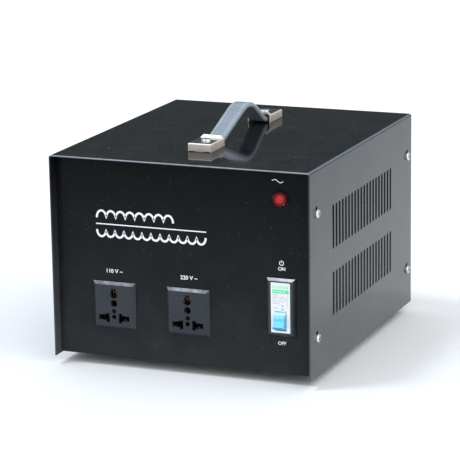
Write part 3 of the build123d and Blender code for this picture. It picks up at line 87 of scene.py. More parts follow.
def make_camera():
    data = bpy.data.cameras.new("view")
    data.sensor_width = SENSOR_WIDTH
    data.lens = FOCAL_PIXELS * SENSOR_WIDTH / IMAGE_PIXELS
    data.clip_end = VIEW_REACH
    camera = bpy.data.objects.new("view", data)
    bpy.context.scene.collection.objects.link(camera)
    level = math.cos(CAMERA_ELEVATION)
    rise = math.sin(CAMERA_ELEVATION)
    back = Vector((math.sin(CAMERA_AZIMUTH) * level, -math.cos(CAMERA_AZIMUTH) * level, rise))
    right = Vector((0, 0, 1)).cross(back).normalized()
    up = back.cross(right)
    c, s = math.cos(CAMERA_ROLL), math.sin(CAMERA_ROLL)
    turned = Matrix((right * c + up * s, up * c - right * s, back)).transposed()
    camera.matrix_world = Matrix.Translation(cover_low + CAMERA_FROM_COVER) @ turned.to_4x4()
    bpy.context.scene.camera = camera


# Materials
COLOUR_A = 6  # the two colour inputs of a Mix node
COLOUR_B = 7


class Surface:
    """A node-based material with one principled shader and helpers for what feeds it."""

    def __init__(self, name, colour, roughness, **values):
        self.material = bpy.data.materials.new(name)
        self.material.use_nodes = True
        self.tree = self.material.node_tree
        self.shader = self.tree.nodes["Principled BSDF"]
        self.set("Base Color", (*colour, 1))
        self.set("Roughness", roughness)
        for socket, value in values.items():
            self.set(socket.replace("_", " "), value)
        self.place = self.node("ShaderNodeTexCoord").outputs["Object"]
        self.colour = colour

    def set(self, socket, value):
        self.shader.inputs[socket].default_value = value

    def node(self, kind, **settings):
        made = self.tree.nodes.new(kind)
        for name, value in settings.items():
            setattr(made, name, value)
        return made

    def join(self, source, target):
        self.tree.links.new(source, target)

    def noise(self, scale, detail=3, place=None):
        made = self.node("ShaderNodeTexNoise")
        made.inputs["Scale"].default_value = scale
        made.inputs["Detail"].default_value = detail
        self.join(place or self.place, made.inputs["Vector"])
        return made.outputs["Fac"]

    def cells(self, scale, feature="F1"):
        made = self.node("ShaderNodeTexVoronoi", feature=feature)
        made.inputs["Scale"].default_value = scale
        self.join(self.place, made.inputs["Vector"])
        return made.outputs["Distance"]

    def range(self, source, low, high, to_low=0.0, to_high=1.0):
        made = self.node("ShaderNodeMapRange")
        self.join(source, made.inputs["Value"])
        ends = {"From Min": low, "From Max": high, "To Min": to_low, "To Max": to_high}
        for socket, value in ends.items():
            made.inputs[socket].default_value = value
        return made.outputs["Result"]

    def maths(self, operation, first, second=0.0):
        made = self.node("ShaderNodeMath", operation=operation)
        for socket, value in zip(made.inputs, (first, second)):
            if isinstance(value, (int, float)):
                socket.default_value = value
            else:
                self.join(value, socket)
        return made.outputs[0]

    def hypotenuse(self, first, second):
        squares = [self.maths("MULTIPLY", side, side) for side in (first, second)]
        return self.maths("SQRT", self.maths("ADD", *squares))

    def axes(self):
        made = self.node("ShaderNodeSeparateXYZ")
        self.join(self.place, made.inputs[0])
        return made.outputs

    def stretched(self, scale):
        made = self.node("ShaderNodeMapping")
        made.inputs["Scale"].default_value = scale
        self.join(self.place, made.inputs["Vector"])
        return made.outputs["Vector"]

    def specks(self):
        """Sparse small spots, as dust leaves on gloss paint."""
        spots = self.range(self.cells(260), 0.16, 0.08)
        return self.maths("MULTIPLY", spots, self.range(self.noise(120, 1), 0.5, 0.6))

    def facing_up(self, start, end):
        """How far the surface faces up: 0 at the start's share of straight up, 1 at the end's."""
        geometry = self.node("ShaderNodeNewGeometry")
        split = self.node("ShaderNodeSeparateXYZ")
        self.join(geometry.outputs["Normal"], split.inputs[0])
        return self.range(split.outputs["Z"], start, end)

    def tint(self, fac, first, second):
        """Mixes two colours by a factor into the base colour."""
        made = self.node("ShaderNodeMix", data_type="RGBA")
        self.join(fac, made.inputs["Factor"])
        for socket, colour in ((made.inputs[COLOUR_A], first), (made.inputs[COLOUR_B], second)):
            if isinstance(colour, tuple):
                socket.default_value = (*colour, 1)
            else:
                self.join(colour, socket)
        self.join(made.outputs[2], self.shader.inputs["Base Color"])
        return made.outputs[2]

    def vary_roughness(self, fac, low, high):
        self.join(self.range(fac, 0.3, 0.7, low, high), self.shader.inputs["Roughness"])

    def bump(self, *layers):
        """Adds bump layers, each a height and a distance in metres."""
        normal = None
        for height, distance in layers:
            made = self.node("ShaderNodeBump")
            made.inputs["Distance"].default_value = distance
            self.join(height, made.inputs["Height"])
            if normal:
                self.join(normal, made.inputs["Normal"])
            normal = made.outputs["Normal"]
        self.join(normal, self.shader.inputs["Normal"])


PAINT_BLACK = (0.0045, 0.0052, 0.0062)
# Pale dust colour, also used for the painted floor reflection
DUST_AND_REFLECTION = (0.30, 0.33, 0.34)
# Painted highlight colour for the top's side folds
PAINTED_FOLD_HIGHLIGHT = (0.14, 0.17, 0.2)
# Painted highlight colour for the top's front edge
PAINTED_EDGE_HIGHLIGHT = (0.31, 0.33, 0.38)


def case_paint():
    """Glossy black stove enamel with dust, a painted floor reflection that is lighter towards the sides'
    foot, and painted highlights at the folds and in patches along the top's front edge.
    """
    s = Surface("case_paint", PAINT_BLACK, 0.08, Specular_IOR_Level=0.28)
    s.vary_roughness(s.noise(38, 4), 0.05, 0.12)
    x, y, z = s.axes()
    clouds = s.range(s.noise(26, 5), 0.4, 0.75, 0.005, 0.04)
    # Painted reflection: lighter towards the foot of the sides, where the bright floor is mirrored; it is
    # added to the real dust clouds and specks
    painted_floor_reflection = s.range(z, cover_low.z, cover_high.z, 0.2, -0.02)
    specks = s.maths("MULTIPLY", s.maths("MULTIPLY", s.specks(), s.facing_up(0.9, 0.98)), 0.7)
    dust_and_reflection = s.maths("ADD", s.maths("ADD", clouds, painted_floor_reflection), specks)
    with_dust_and_reflection = s.tint(dust_and_reflection, PAINT_BLACK, DUST_AND_REFLECTION)
    # Painted highlight: lighter along the top's two side folds, in place of their reflection of the sky
    outward = s.range(s.maths("ABSOLUTE", x), cover_high.x - 2.2 * MM, cover_high.x - 0.8 * MM)
    fold_highlight_mask = s.maths("MULTIPLY", outward, s.range(z, cover_high.z - 2.4 * MM, cover_high.z - MM))
    folded = s.tint(s.maths("MULTIPLY", fold_highlight_mask, 0.8), with_dust_and_reflection, PAINTED_FOLD_HIGHLIGHT)
    # Painted highlight: lighter in patches along the top's front edge, where the thin paint on the cut edge
    # would glint
    ahead = s.range(y, cover_low.y + 0.7 * MM, cover_low.y + 0.3 * MM)
    edge_highlight_mask = s.maths("MULTIPLY", ahead, s.range(z, cover_high.z - 1.2 * MM, cover_high.z - 0.7 * MM))
    patches = s.range(s.noise(150, 3), 0.2, 0.6, 0.7, 1.0)
    s.tint(s.maths("MULTIPLY", edge_highlight_mask, patches), folded, PAINTED_EDGE_HIGHLIGHT)
    s.bump((s.noise(900, 2), 0.000003), (s.noise(120, 2), 0.00001))
    return s.material


def panel_enamel():
    """The front panel's enamel, a little duller, with dust specks and a painted reflection of the floor
    that is lighter towards the bottom.
    """
    s = Surface("panel_enamel", PAINT_BLACK, 0.14, Specular_IOR_Level=0.05)
    s.vary_roughness(s.noise(38, 4), 0.1, 0.2)
    _, _, height = s.axes()
    # Painted reflection: a pale film that grows towards the bottom, in place of the floor mirrored in the
    # panel
    painted_floor_reflection = s.maths("POWER", s.range(height, cover_low.z, cover_high.z, 1.0, 0.1), 1.5)
    painted_reflection_film = s.maths("MULTIPLY", painted_floor_reflection, s.range(s.noise(30, 5), 0.3, 0.7, 0.055, 0.085))
    s.tint(s.maths("ADD", painted_reflection_film, s.maths("MULTIPLY", s.specks(), 0.16)), PAINT_BLACK, DUST_AND_REFLECTION)
    s.bump((s.noise(1100, 2), 0.000006), (s.noise(160, 2), 0.000014))
    return s.material


def metal(name, colour, roughness, grain, depth=0.000004, spread=0.08):
    s = Surface(name, colour, roughness, Metallic=1.0)
    mottle = s.noise(grain, 4)
    s.vary_roughness(mottle, roughness, roughness + spread)
    darker = tuple(c * 0.82 for c in colour)
    s.tint(s.range(s.noise(grain / 3, 3), 0.35, 0.65), darker, colour)
    s.bump((s.noise(grain * 6, 2), depth))
    return s.material


def plated_cap():
    """Nickel plate, polished on top and satin on the folded walls, which are warmer at their foot."""
    s = Surface("cap_plate", (0.84, 0.82, 0.79), 0.1, Metallic=1.0)
    polish = s.facing_up(0.9, 0.99)
    s.join(s.range(polish, 0.0, 1.0, 0.12, 1.0), s.shader.inputs["Metallic"])
    uneven = s.range(s.noise(260, 4), 0.3, 0.7, 0.0, 0.05)
    satin = s.maths("ADD", s.range(polish, 0.0, 1.0, 0.28, 0.05), uneven)
    s.join(satin, s.shader.inputs["Roughness"])
    _, _, height = s.axes()
    warmth = s.range(height, cover_high.z, cover_high.z + CAP_TOP, 0.0, 0.7)
    mottle = s.range(s.noise(90, 4), 0.35, 0.7, 0.0, 0.3)
    s.tint(s.maths("ADD", warmth, mottle), (0.45, 0.38, 0.3), (0.68, 0.64, 0.59))
    s.bump((s.noise(1, 2, place=s.stretched((1500, 60, 1500))), 0.000003))
    return s.material


def spangled_zinc():
    s = Surface("zinc_plate", (0.56, 0.57, 0.58), 0.34, Metallic=1.0)
    patches = s.cells(420)
    s.tint(s.range(patches, 0.0, 0.8), (0.62, 0.63, 0.64), (0.42, 0.43, 0.45))
    s.vary_roughness(s.noise(500, 3), 0.28, 0.45)
    s.bump((patches, 0.00001))
    return s.material


def moulded(name, colour, roughness, grain=900, depth=0.000012, lift=1.25, **values):
    """A moulded plastic or rubber: fine grain, slight mottling and uneven gloss."""
    s = Surface(name, colour, roughness, **values)
    lighter = tuple(min(1.0, c * lift + 0.002) for c in colour)
    s.tint(s.range(s.noise(60, 4), 0.4, 0.8), colour, lighter)
    s.vary_roughness(s.noise(140, 3), roughness - 0.05, roughness + 0.07)
    s.bump((s.noise(grain, 3), depth))
    return s.material


def strap_vinyl():
    """Grey vinyl with fine lengthwise drag marks from the die and a soft gloss."""
    s = Surface("strap_vinyl", (0.27, 0.32, 0.37), 0.24, Coat_Weight=0.3, Coat_Roughness=0.12)
    drag = s.noise(1, 3, place=s.stretched((900, 14, 60)))
    s.tint(s.range(s.noise(45, 4), 0.35, 0.7), (0.235, 0.285, 0.335), (0.3, 0.35, 0.4))
    s.vary_roughness(drag, 0.2, 0.33)
    s.bump((drag, 0.00003), (s.noise(700, 2), 0.00001))
    return s.material


def toggle_plastic():
    """Blue plastic with painted light and shade: paler where it faces up and deeper blue where it faces
    down.
    """
    s = Surface("toggle_blue", (0.1, 0.55, 0.86), 0.24)
    # Painted highlight where it faces up, then painted shade where it faces down
    level = s.tint(s.facing_up(0.15, 0.8), (0.09, 0.53, 0.86), (0.32, 0.76, 0.9))
    s.tint(s.facing_up(-0.02, -0.28), level, (0.02, 0.3, 0.6))
    s.vary_roughness(s.noise(140, 3), 0.2, 0.3)
    s.bump((s.noise(900, 3), 0.000006))
    return s.material


def lens_acrylic():
    """Clear red acrylic with painted shade and light: darker in the rim, lighter towards the jewel in the
    middle.
    """
    s = Surface("lens_red", (0.45, 0.012, 0.02), 0.06, Transmission_Weight=0.12, IOR=1.49,
                Specular_IOR_Level=0.2)
    middle = (lens_low + lens_high) / 2
    x, _, z = s.axes()
    across = s.maths("SUBTRACT", x, middle.x)
    above = s.maths("SUBTRACT", z, middle.z)
    away = s.hypotenuse(across, above)
    # Painted shade in the rim and painted light towards the middle
    s.tint(s.range(away, 3.6 * MM, 4.6 * MM), (0.5, 0.014, 0.022), (0.1, 0.002, 0.004))
    s.bump((s.noise(500, 1), 0.000006))
    return s.material


def wrap_tape():
    """Green tape laid over the coil in overlapping turns, so its bands run across the ring."""
    s = Surface("wrap_tape", (0.02, 0.2, 0.16), 0.3, Coat_Weight=0.25, Coat_Roughness=0.2)
    low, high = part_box("transformer_wrap")
    x, y, _ = s.axes()
    away = s.maths("SUBTRACT", y, (low.y + high.y) / 2)
    turn = s.maths("ARCTAN2", away, x)
    band = s.maths("FRACT", s.maths("MULTIPLY", turn, TAPE_TURNS / math.tau))
    s.tint(s.range(band, 0.0, 1.0), (0.014, 0.15, 0.12), (0.03, 0.27, 0.21))
    s.vary_roughness(s.noise(90, 3), 0.24, 0.4)
    s.bump((band, 0.0002), (s.noise(260, 3), 0.00005))
    return s.material


def layered_core():
    """Varnished edges of the wound steel strip: fine rings round the core's axis."""
    s = Surface("core_strip", (0.14, 0.145, 0.155), 0.4, Metallic=0.8)
    low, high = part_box("transformer_core")
    x, y, _ = s.axes()
    away = s.maths("SUBTRACT", y, (low.y + high.y) / 2)
    ring = s.maths("FRACT", s.maths("MULTIPLY", s.hypotenuse(x, away), 1 / CORE_STRIP))
    s.tint(s.range(ring, 0.2, 0.9), (0.1, 0.1, 0.11), (0.2, 0.2, 0.215))
    s.bump((ring, 0.0001))
    return s.material


def wound_copper():
    """Enamelled wire seen at the coil's open ends: rows of round strands."""
    s = Surface("winding_copper", (0.42, 0.17, 0.07), 0.28, Metallic=0.85, Coat_Weight=0.4)
    strands = s.cells(480, "SMOOTH_F1")
    s.tint(s.range(strands, 0.1, 0.6), (0.5, 0.22, 0.1), (0.16, 0.06, 0.025))
    s.bump((s.range(strands, 0.0, 0.6, 1.0, 0.0), 0.0004))
    return s.material


def printed_ink(name, colour):
    s = Surface(name, colour, 0.45)
    worn = tuple(c * 0.95 for c in colour)
    s.tint(s.range(s.noise(700, 3), 0.35, 0.65), worn, colour)
    s.bump((s.noise(1500, 2), 0.000006))
    return s.material


def floor_paper():
    s = Surface("floor", (0.93, 0.93, 0.93), 0.85)
    s.tint(s.range(s.noise(6, 4), 0.3, 0.7), (0.92, 0.92, 0.92), (0.94, 0.94, 0.94))
    s.bump((s.noise(400, 3), 0.00003))
    return s.material


CAP_TOP = 7.7 * MM  # of the handle's caps over the cover
TAPE_TURNS = 64
CORE_STRIP = 0.6 * MM
materials = {
    "case_black": case_paint(),
    "plated_steel": metal("nickel_plate", (0.78, 0.76, 0.72), 0.16, 220),
    "zinc_steel": spangled_zinc(),
    "foot_rubber": moulded("foot_rubber", (0.012, 0.012, 0.012), 0.7, 700, 0.00003),
    "handle_chrome": plated_cap(),
    "strap_vinyl": strap_vinyl(),
    "spring_steel": metal("spring_steel", (0.35, 0.36, 0.38), 0.3, 300),
    "socket_plastic": moulded("socket_plastic", (0.016, 0.02, 0.027), 0.26, Specular_IOR_Level=0.36),
    "contact_brass": metal("contact_brass", (0.5, 0.44, 0.34), 0.17, 350),
    "bezel_plastic": moulded("bezel_plastic", (0.018, 0.021, 0.026), 0.2, 1200, 0.000005),
    "breaker_white": moulded("breaker_white", (0.84, 0.86, 0.86), 0.32, 1000, 0.000008, 1.03),
    "toggle_blue": toggle_plastic(),
    "copper": metal("copper", (0.72, 0.4, 0.27), 0.24, 300),
    "lens_red": lens_acrylic(),
    "lamp_body": moulded("lamp_body", (0.03, 0.03, 0.03), 0.4),
    "lamp_glass": moulded("lamp_glass", (0.9, 0.75, 0.62), 0.06, 300, 0.000004, 1.05,
                          Transmission_Weight=0.8),
    "core_steel": layered_core(),
    "winding_copper": wound_copper(),
    "wrap_tape": wrap_tape(),
    "pad_rubber": moulded("pad_rubber", (0.02, 0.02, 0.02), 0.65),
    "gland_nylon": moulded("gland_nylon", (0.016, 0.016, 0.018), 0.38),
    "terminal_plastic": moulded("terminal_plastic", (0.6, 0.57, 0.5), 0.4),
    "selector_plastic": moulded("selector_plastic", (0.015, 0.015, 0.016), 0.35),
    "selector_red": moulded("selector_red", (0.45, 0.02, 0.02), 0.3),
    "lead_insulation": moulded("lead_insulation", (0.3, 0.02, 0.018), 0.35),
}
panel_paint = panel_enamel()
lead_blue = moulded("lead_blue", (0.02, 0.08, 0.3), 0.35)
lead_white = moulded("lead_white", (0.6, 0.6, 0.58), 0.35)
white_ink = printed_ink("white_ink", (0.86, 0.88, 0.9))
green_ink = printed_ink("green_ink", (0.09, 0.74, 0.34))
pale_green_ink = printed_ink("pale_green_ink", (0.3, 0.8, 0.5))
label_film = printed_ink("label_film", (0.78, 0.8, 0.82))
toggle_ink = printed_ink("toggle_ink", (0.55, 0.85, 0.98))
grey_ink = printed_ink("grey_ink", (0.3, 0.31, 0.33))
pale_ink = printed_ink("pale_ink", (0.5, 0.51, 0.53))
node_materials = {
    "chassis_tray": panel_paint,
    "socket_leads": lead_blue,
    "selector_and_lamp_leads": lead_white,
}


def material_of(node):
    return node_materials.get(node) or materials[node_slots[node]]


def dress_nodes():
    for name, node in frame["nodes"].items():
        node.data.materials.clear()
        node.data.materials.append(material_of(name))


# Pieces
def add_piece(name, mesh, material, body="root", replaced=()):
    piece = bpy.data.objects.new(name, mesh)
    bpy.context.scene.collection.objects.link(piece)
    mesh.materials.clear()
    mesh.materials.append(material)
    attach(piece, body)
    if replaced:
        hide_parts(*replaced)
    return piece


# Rounded edges, in place of the solids' sharp ones
CRISP_ANGLE = math.radians(35)
FLAT_ANGLE = math.radians(0.6)
SHARP_ANGLE = math.radians(32)
WELD_DISTANCE = 0.002 * MM
FACE_WEIGHT = 100
SOFTENED = (("top_cover", 0.5, 60), ("chassis_tray", 0.4, 60), ("handle_cap_front", 0.35, 5),
            ("handle_cap_rear", 0.35, 5), ("breaker_bezel", 0.25, 17), ("breaker_toggle", 0.4, 9),
            ("gland_cap", 0.5, 3))
LENS_ROUNDING = 1.4 * MM
LENS_RIM = 6.5 * MM
LENS_STEPS = 4


def shade_by_angle(mesh):
    """Smooth shading, with edges sharper than the crisp angle kept crisp."""
    mesh.shade_smooth()
    bm = bmesh.new()
    bm.from_mesh(mesh)
    for edge in bm.edges:
        if len(edge.link_faces) == 2:
            edge.smooth = edge.calc_face_angle(0) < CRISP_ANGLE
    bm.to_mesh(mesh)
    bm.free()


def soften(node, width, chosen, segments=2):
    """Replaces a CAD node by its own shape with its chosen sharp edges rounded."""
    source = frame["nodes"][node]
    mesh = source.data.copy()
    bm = bmesh.new()
    bm.from_mesh(mesh)
    bmesh.ops.remove_doubles(bm, verts=bm.verts, dist=WELD_DISTANCE)
    bmesh.ops.dissolve_limit(bm, angle_limit=FLAT_ANGLE, verts=bm.verts, edges=bm.edges)
    edges = [edge for edge in bm.edges if len(edge.link_faces) == 2
             and abs(edge.calc_face_angle(0)) > SHARP_ANGLE and chosen(edge)]
    bmesh.ops.bevel(bm, geom=edges, offset=width, offset_type="OFFSET", segments=segments, profile=0.5,
                    affect="EDGES", clamp_overlap=False)
    bmesh.ops.triangulate(bm, faces=bm.faces, quad_method="BEAUTY", ngon_method="BEAUTY")
    bm.to_mesh(mesh)
    bm.free()
    for corner_normals in [a for a in mesh.attributes if a.name in ("custom_normal", "sharp_edge")]:
        mesh.attributes.remove(corner_normals)
    shade_by_angle(mesh)
    name = f"{node}_finished"
    piece = add_piece(name, mesh, material_of(node), source["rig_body"], (node,))
    weighted = piece.modifiers.new("flat faces", "WEIGHTED_NORMAL")
    weighted.mode = "FACE_AREA"
    weighted.weight = FACE_WEIGHT
    weighted.keep_sharp = True


HEAD_SHARE = 0.62  # of the solid heads' height that stays


def lower_heads():
    """Replaces the handle's screws by their own shape with shallower heads."""
    seat = cover_high.z + CAP_TOP
    mesh = frame["nodes"]["handle_screws"].data.copy()
    for vertex in mesh.vertices:
        if vertex.co.z > seat:
            vertex.co.z = seat + (vertex.co.z - seat) * HEAD_SHARE
    add_piece("handle_screws_low", mesh, material_of("handle_screws"),
              replaced=("handle_screws",))


def longer_than(shortest):
    return lambda edge: edge.calc_length() >= shortest


def front_rim_of(node, radius):
    """Chooses the edges of a round node's front half that lie at least a radius from its axis."""
    low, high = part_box(node)
    middle = (low + high) / 2

    def on_rim(vertex):
        away = vertex.co - middle
        return away.y < 0 and math.hypot(away.x, away.z) > radius

    return lambda edge: all(on_rim(vertex) for vertex in edge.verts)


# Light: a bright sky that is dim only low behind the object, a sun and a warm fill from the right
SKY_LOW = math.sin(math.radians(12.5))
SKY_HIGH = math.sin(math.radians(24))
BEHIND_FROM = 0.15
BEHIND_TO = 0.5
BEHIND_LIGHT = (0.085, 0.1, 0.105)
SKY_LIGHT = (0.86, 0.91, 0.97)
SUNS = (("sun", (0.88, 0.98, 1.1), 0.85, 13, (-0.37, -0.24, 0.9)),
        ("fill", (1.0, 0.96, 0.9), 1.1, 70, (0.75, -0.35, 0.5)))


def add_sun(name, colour, strength, spread, towards):
    light = bpy.data.lights.new(name, "SUN")
    light.color = colour
    light.energy = strength
    light.angle = math.radians(spread)
    holder = bpy.data.objects.new(name, light)
    holder.rotation_mode = "QUATERNION"
    holder.rotation_quaternion = Vector(towards).to_track_quat("Z", "Y")
    bpy.context.scene.collection.objects.link(holder)


def make_light():
    world = bpy.data.worlds.new("studio")
    bpy.context.scene.world = world
    world.use_nodes = True
    tree = world.node_tree
    background = tree.nodes["Background"]
    place = tree.nodes.new("ShaderNodeTexCoord")
    split = tree.nodes.new("ShaderNodeSeparateXYZ")
    brighter = tree.nodes.new("ShaderNodeMath")
    brighter.operation = "MAXIMUM"
    mix = tree.nodes.new("ShaderNodeMix")
    mix.data_type = "RGBA"
    tree.links.new(place.outputs["Generated"], split.inputs[0])
    for n, (axis, start, end) in enumerate((("Z", SKY_LOW, SKY_HIGH), ("Y", BEHIND_TO, BEHIND_FROM))):
        rise = tree.nodes.new("ShaderNodeMapRange")
        rise.inputs["From Min"].default_value = start
        rise.inputs["From Max"].default_value = end
        tree.links.new(split.outputs[axis], rise.inputs["Value"])
        tree.links.new(rise.outputs["Result"], brighter.inputs[n])
    mix.inputs[COLOUR_A].default_value = (*BEHIND_LIGHT, 1)
    mix.inputs[COLOUR_B].default_value = (*SKY_LIGHT, 1)
    tree.links.new(brighter.outputs[0], mix.inputs["Factor"])
    tree.links.new(mix.outputs[2], background.inputs["Color"])
    for name, colour, strength, spread, towards in SUNS:
        add_sun(name, colour, strength, spread, towards)
    bpy.context.scene.view_settings.view_transform = "Standard"


FLOOR_HALF = 40.0


def make_floor():
    mesh = bpy.data.meshes.new("floor")
    corners = [(-FLOOR_HALF, -FLOOR_HALF, 0), (FLOOR_HALF, -FLOOR_HALF, 0), (FLOOR_HALF, FLOOR_HALF, 0),
               (-FLOOR_HALF, FLOOR_HALF, 0)]
    mesh.from_pydata(corners, [], [(0, 1, 2, 3)])
    floor = bpy.data.objects.new("floor", mesh)
    mesh.materials.append(floor_paper())
    bpy.context.scene.collection.objects.link(floor)


# Printing
INK_THICKNESS = 0.05 * MM
INK_WELD = 0.001 * MM
LETTER_WEIGHT = 0.025
PRINT_LIFT = 0.02 * MM
panel_y = tray_low.y - PRINT_LIFT


def lettering(name, text, x, z0, z1, y, material):
    """Printing between two heights, centred on x in the plane y and facing the front."""
    curve = bpy.data.curves.new(name, "FONT")
    curve.body = text
    curve.size = 1.0
    curve.offset = LETTER_WEIGHT
    curve.extrude = 0.0
    curve.resolution_u = 4
    holder = bpy.data.objects.new(name, curve)
    bpy.context.scene.collection.objects.link(holder)
    bpy.context.view_layer.update()
    mesh = bpy.data.meshes.new_from_object(holder.evaluated_get(bpy.context.evaluated_depsgraph_get()))
    bpy.data.objects.remove(holder)
    xs, ys = [v.co.x for v in mesh.vertices], [v.co.y for v in mesh.vertices]
    scale = (z1 - z0) / (max(ys) - min(ys))
    middle, foot = (min(xs) + max(xs)) / 2, min(ys)
    for vertex in mesh.vertices:
        vertex.co = Vector((x + (vertex.co.x - middle) * scale, y, z0 + (vertex.co.y - foot) * scale))
    thicken(name, mesh, material)


def thicken(name, mesh, material, body="root"):
    """Gives a flat print that faces the front its thickness, towards the front."""
    bm = bmesh.new()
    bm.from_mesh(mesh)
    bmesh.ops.remove_doubles(bm, verts=bm.verts, dist=INK_WELD)
    made = bmesh.ops.extrude_face_region(bm, geom=bm.faces[:])
    for item in made["geom"]:
        if isinstance(item, bmesh.types.BMVert):
            item.co.y -= INK_THICKNESS
    bmesh.ops.recalc_face_normals(bm, faces=bm.faces[:])
    bm.to_mesh(mesh)
    bm.free()
    return add_piece(name, mesh, material, body)


def ribbon(points, width, closed):
    """Quads of a line of the given width through points (x, z), as vertex pairs and faces."""
    count = len(points)
    verts, faces = [], []
    for n, point in enumerate(points):
        before = points[n - 1] if n or closed else point
        after = points[(n + 1) % count] if n < count - 1 or closed else point
        run = Vector((after[0] - before[0], after[1] - before[1])).normalized()
        side = Vector((-run.y, run.x)) * width / 2
        verts += [(point[0] + side.x, point[1] + side.y), (point[0] - side.x, point[1] - side.y)]
    for n in range(count if closed else count - 1):
        a, b = 2 * n, 2 * ((n + 1) % count)
        faces.append((a, b, b + 1, a + 1))
    return verts, faces


def drawing(name, strokes, y, material, body="root"):
    """Printed line work: strokes are (points, width, closed) in x and z."""
    verts, faces = [], []
    for points, width, closed in strokes:
        new_verts, new_faces = ribbon(points, width, closed)
        start = len(verts)
        verts += [(x, y, z) for x, z in new_verts]
        faces += [tuple(i + start for i in face) for face in new_faces]
    mesh = bpy.data.meshes.new(name)
    mesh.from_pydata(verts, [], faces)
    return thicken(name, mesh, material, body)


def arc(x, z, radius, start, end, steps):
    """Points of an arc from start to end, in degrees from the right, anticlockwise."""
    angles = [math.radians(start + (end - start) * n / steps) for n in range(steps + 1)]
    return [(x + radius * math.cos(a), z + radius * math.sin(a)) for a in angles]


def bar(x0, x1, z, height):
    return ([(x0, z), (x1, z)], height, False)


# The coil sign on the front panel: ends, height of the open side, rise and turns of each coil
UPPER_COIL = (40.6, 114.4, 129.0, 6.6, 8)
LOWER_COIL = (40.6, 145.2, 118.2, -6.2, 12)
COIL_LINE = 1.9 * MM
COIL_RULE = (39.7, 145.7, 123.5)
RULE_LINE = 1.0 * MM

# Words and numbers: their middle, foot and top on the case
LABELS = (("110 V ~", 56.7, 78.9, 82.7), ("220 V ~", 128.5, 78.9, 82.7), ("ON", 216, 94.6, 97.9),
          ("OFF", 215.8, 27.7, 31))

# Signs over the breaker and the lamp
SIGN_LINE = 0.6 * MM
POWER_PLACE = (215.9, 101.4)
POWER_RADIUS = 1.9 * MM
POWER_BAR = (0.4 * MM, 2.5 * MM)
WAVE_PLACE = (213, 173.9)
WAVE_WIDTH = 10.4 * MM
WAVE_HEIGHT = 1.3 * MM
WAVE_STEPS = 24


def coil(place):
    """A row of half-round loops, as coils are drawn in wiring diagrams."""
    start, end, open_side, rise, turns = place
    left, foot = on_case(start, open_side)
    right, _ = on_case(end, open_side)
    radius = (right - left) / turns / 2
    points = []
    for n in range(turns):
        middle = left + (2 * n + 1) * radius
        loop = arc(0, 0, 1.0, 180, 0, 12)
        points += [(middle + x * radius, foot + z * rise * MM) for x, z in loop[(1 if n else 0):]]
    return points


def make_coil_sign():
    strokes = [(coil(place), COIL_LINE, False) for place in (UPPER_COIL, LOWER_COIL)]
    start, end, height = COIL_RULE
    left, rule = on_case(start, height)
    right, _ = on_case(end, height)
    strokes.append(bar(left, right, rule, RULE_LINE))
    drawing("title_symbol", strokes, panel_y, white_ink)


def make_labels():
    for text, middle, low, high in LABELS:
        x, z0 = on_case(middle, low)
        _, z1 = on_case(middle, high)
        name = "label_" + text.split()[0].lower()
        lettering(name, text, x, z0, z1, panel_y, white_ink)


def make_symbols():
    x, z = on_case(*POWER_PLACE)
    ring = (arc(x, z, POWER_RADIUS, 115, 425, 24), SIGN_LINE, False)
    stem = ([(x, z + up) for up in POWER_BAR], SIGN_LINE, False)
    drawing("power_symbol", [ring, stem], panel_y, white_ink)
    x, z = on_case(*WAVE_PLACE)
    shares = [n / WAVE_STEPS for n in range(WAVE_STEPS + 1)]
    wave = [(x + (t - 0.5) * WAVE_WIDTH, z + math.sin(t * math.tau) * WAVE_HEIGHT) for t in shares]
    drawing("lamp_symbol", [(wave, SIGN_LINE, False)], panel_y, white_ink)


# Breaker: its printed face and marked toggle
nose_left = breaker_low.x
nose_middle_z = (breaker_low.z + breaker_high.z) / 2
nose_y = breaker_low.y - PRINT_LIFT


def on_nose(across, up):
    """A place on the breaker's face, from its left edge and its middle height, in millimetres."""
    return nose_left + across * MM, nose_middle_z + up * MM


def nose_bar(left, right, up, height):
    x0, z = on_nose(left, up)
    x1, _ = on_nose(right, up)
    return bar(x0, x1, z, height * MM)


# The breaker's face, in millimetres: bars by left end, right end, middle height and thickness
LABEL_BAR = (1.4, 16.7, 9.2, 24.6)
BAND_BAR = (1.4, 16.7, 14.6, 3.2)
MARK_UP = 18.6
MARK_HEIGHT = 2.6
MARKS = ((1.6, 3.0), (3.8, 4.3), (5.4, 6.6), (7.4, 8.2), (9.0, 10.2), (11.0, 11.6), (12.4, 13.6),
         (14.6, 16.2))
TICKS = (2.6, 4.0, 6.2, 7.6, 9.0, 11.2, 12.6)
TICK_WIDTH = 0.8
TICK_HEIGHT = 1.3
LINE_LEFT = 1.6
LINE_TOP = 11.5
LINE_PITCH = 1.9
LINE_HEIGHT = 0.5
LINE_LENGTHS = (5.4, 6.0, 3.6, 6.8, 6.4)
LOWEST_LINE = (1.6, 6.4, -0.4, 0.5)
FINE_LINE = 0.35 * MM
CIRCLE_PLACE = (11.0, 7.8)
CIRCLE_RADIUS = 2.5 * MM
INNER_RADIUS = 1.3 * MM
SQUARES = ((10.2, 11.6, 1.9, 1.4), (10.2, 11.6, -1.1, 1.4))
SWITCH_ACROSS = 15.4
SWITCH_RUNS = (((0, 12), (0, 8.4)), ((0, 6.0), (-1.2, 8.4)), ((0, 6.0), (0, 2.0)))


def print_bars(name, bars, y, material):
    drawing(name, [nose_bar(*place) for place in bars], y, material)


def breaker_label():
    """A pale label with plain bands and marks."""
    print_bars("breaker_label", [LABEL_BAR], nose_y, label_film)
    y = nose_y - INK_THICKNESS
    print_bars("breaker_band", [BAND_BAR], y, green_ink)
    marks = [(left, right, MARK_UP, MARK_HEIGHT) for left, right in MARKS]
    print_bars("breaker_marks", marks, y, pale_green_ink)
    ticks = [(left, left + TICK_WIDTH, BAND_BAR[2], TICK_HEIGHT) for left in TICKS]
    print_bars("breaker_band_ticks", ticks, y - INK_THICKNESS, label_film)


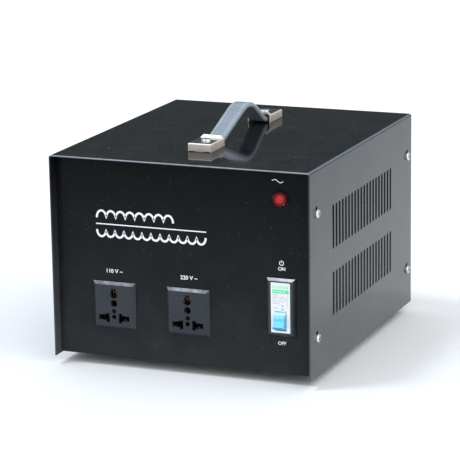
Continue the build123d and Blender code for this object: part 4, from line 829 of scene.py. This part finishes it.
def breaker_signs():
    """Rows of plain lines, a double circle, two squares and the sign of a switch."""
    y = nose_y - INK_THICKNESS
    rows = [(LINE_LEFT, LINE_LEFT + length, LINE_TOP - n * LINE_PITCH, LINE_HEIGHT)
            for n, length in enumerate(LINE_LENGTHS)]
    print_bars("breaker_lines", rows + [LOWEST_LINE], y, pale_ink)
    x, z = on_nose(*CIRCLE_PLACE)
    ring = arc(x, z, CIRCLE_RADIUS, 0, 345, 24)
    inner = arc(x, z, INNER_RADIUS, 90, 435, 16)
    drawing("breaker_circle", [(ring, FINE_LINE, True), (inner, FINE_LINE, True)], y, pale_ink)
    print_bars("breaker_squares", SQUARES, y, grey_ink)
    switch = [([on_nose(SWITCH_ACROSS + across, up) for across, up in run], FINE_LINE, False)
              for run in SWITCH_RUNS]
    drawing("breaker_symbol", switch, y, pale_ink)


# The toggle's marks, by their places across the drum
MARK_ANGLE = math.radians(24)
MARK_CLEARANCE = 0.06 * MM
OFF_PLACE = -1.8 * MM
OFF_RADIUS = 1.0 * MM
OFF_LINE = 0.4 * MM
ON_START = 0.4 * MM
ON_END = 3.0 * MM
ON_LINE = 0.45 * MM


def toggle_marks():
    """A ring and a bar, the generic signs for off and on, on the toggle's drum."""
    low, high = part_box("breaker_toggle")
    radius = (high.z - low.z) / 2
    axis = Vector(((low.x + high.x) / 2, high.y - radius, (low.z + high.z) / 2))
    outward = Vector((0, -math.cos(MARK_ANGLE), math.sin(MARK_ANGLE)))
    ring = (arc(OFF_PLACE, 0, OFF_RADIUS, 0, 345, 20), OFF_LINE, True)
    marks = drawing("toggle_marks", [ring, bar(ON_START, ON_END, 0, ON_LINE)], 0, toggle_ink, "toggle")
    turn = Matrix.Rotation(-MARK_ANGLE, 4, "X")
    marks.data.transform(Matrix.Translation(axis + outward * (radius + MARK_CLEARANCE)) @ turn)


dress_nodes()
make_camera()
make_light()
make_floor()
for node_name, width, shortest in SOFTENED:
    soften(node_name, width * MM, longer_than(shortest * MM))
lower_heads()
soften("lamp_lens", LENS_ROUNDING, front_rim_of("lamp_lens", LENS_RIM), LENS_STEPS)
make_coil_sign()
make_labels()
make_symbols()
breaker_label()
breaker_signs()
toggle_marks()
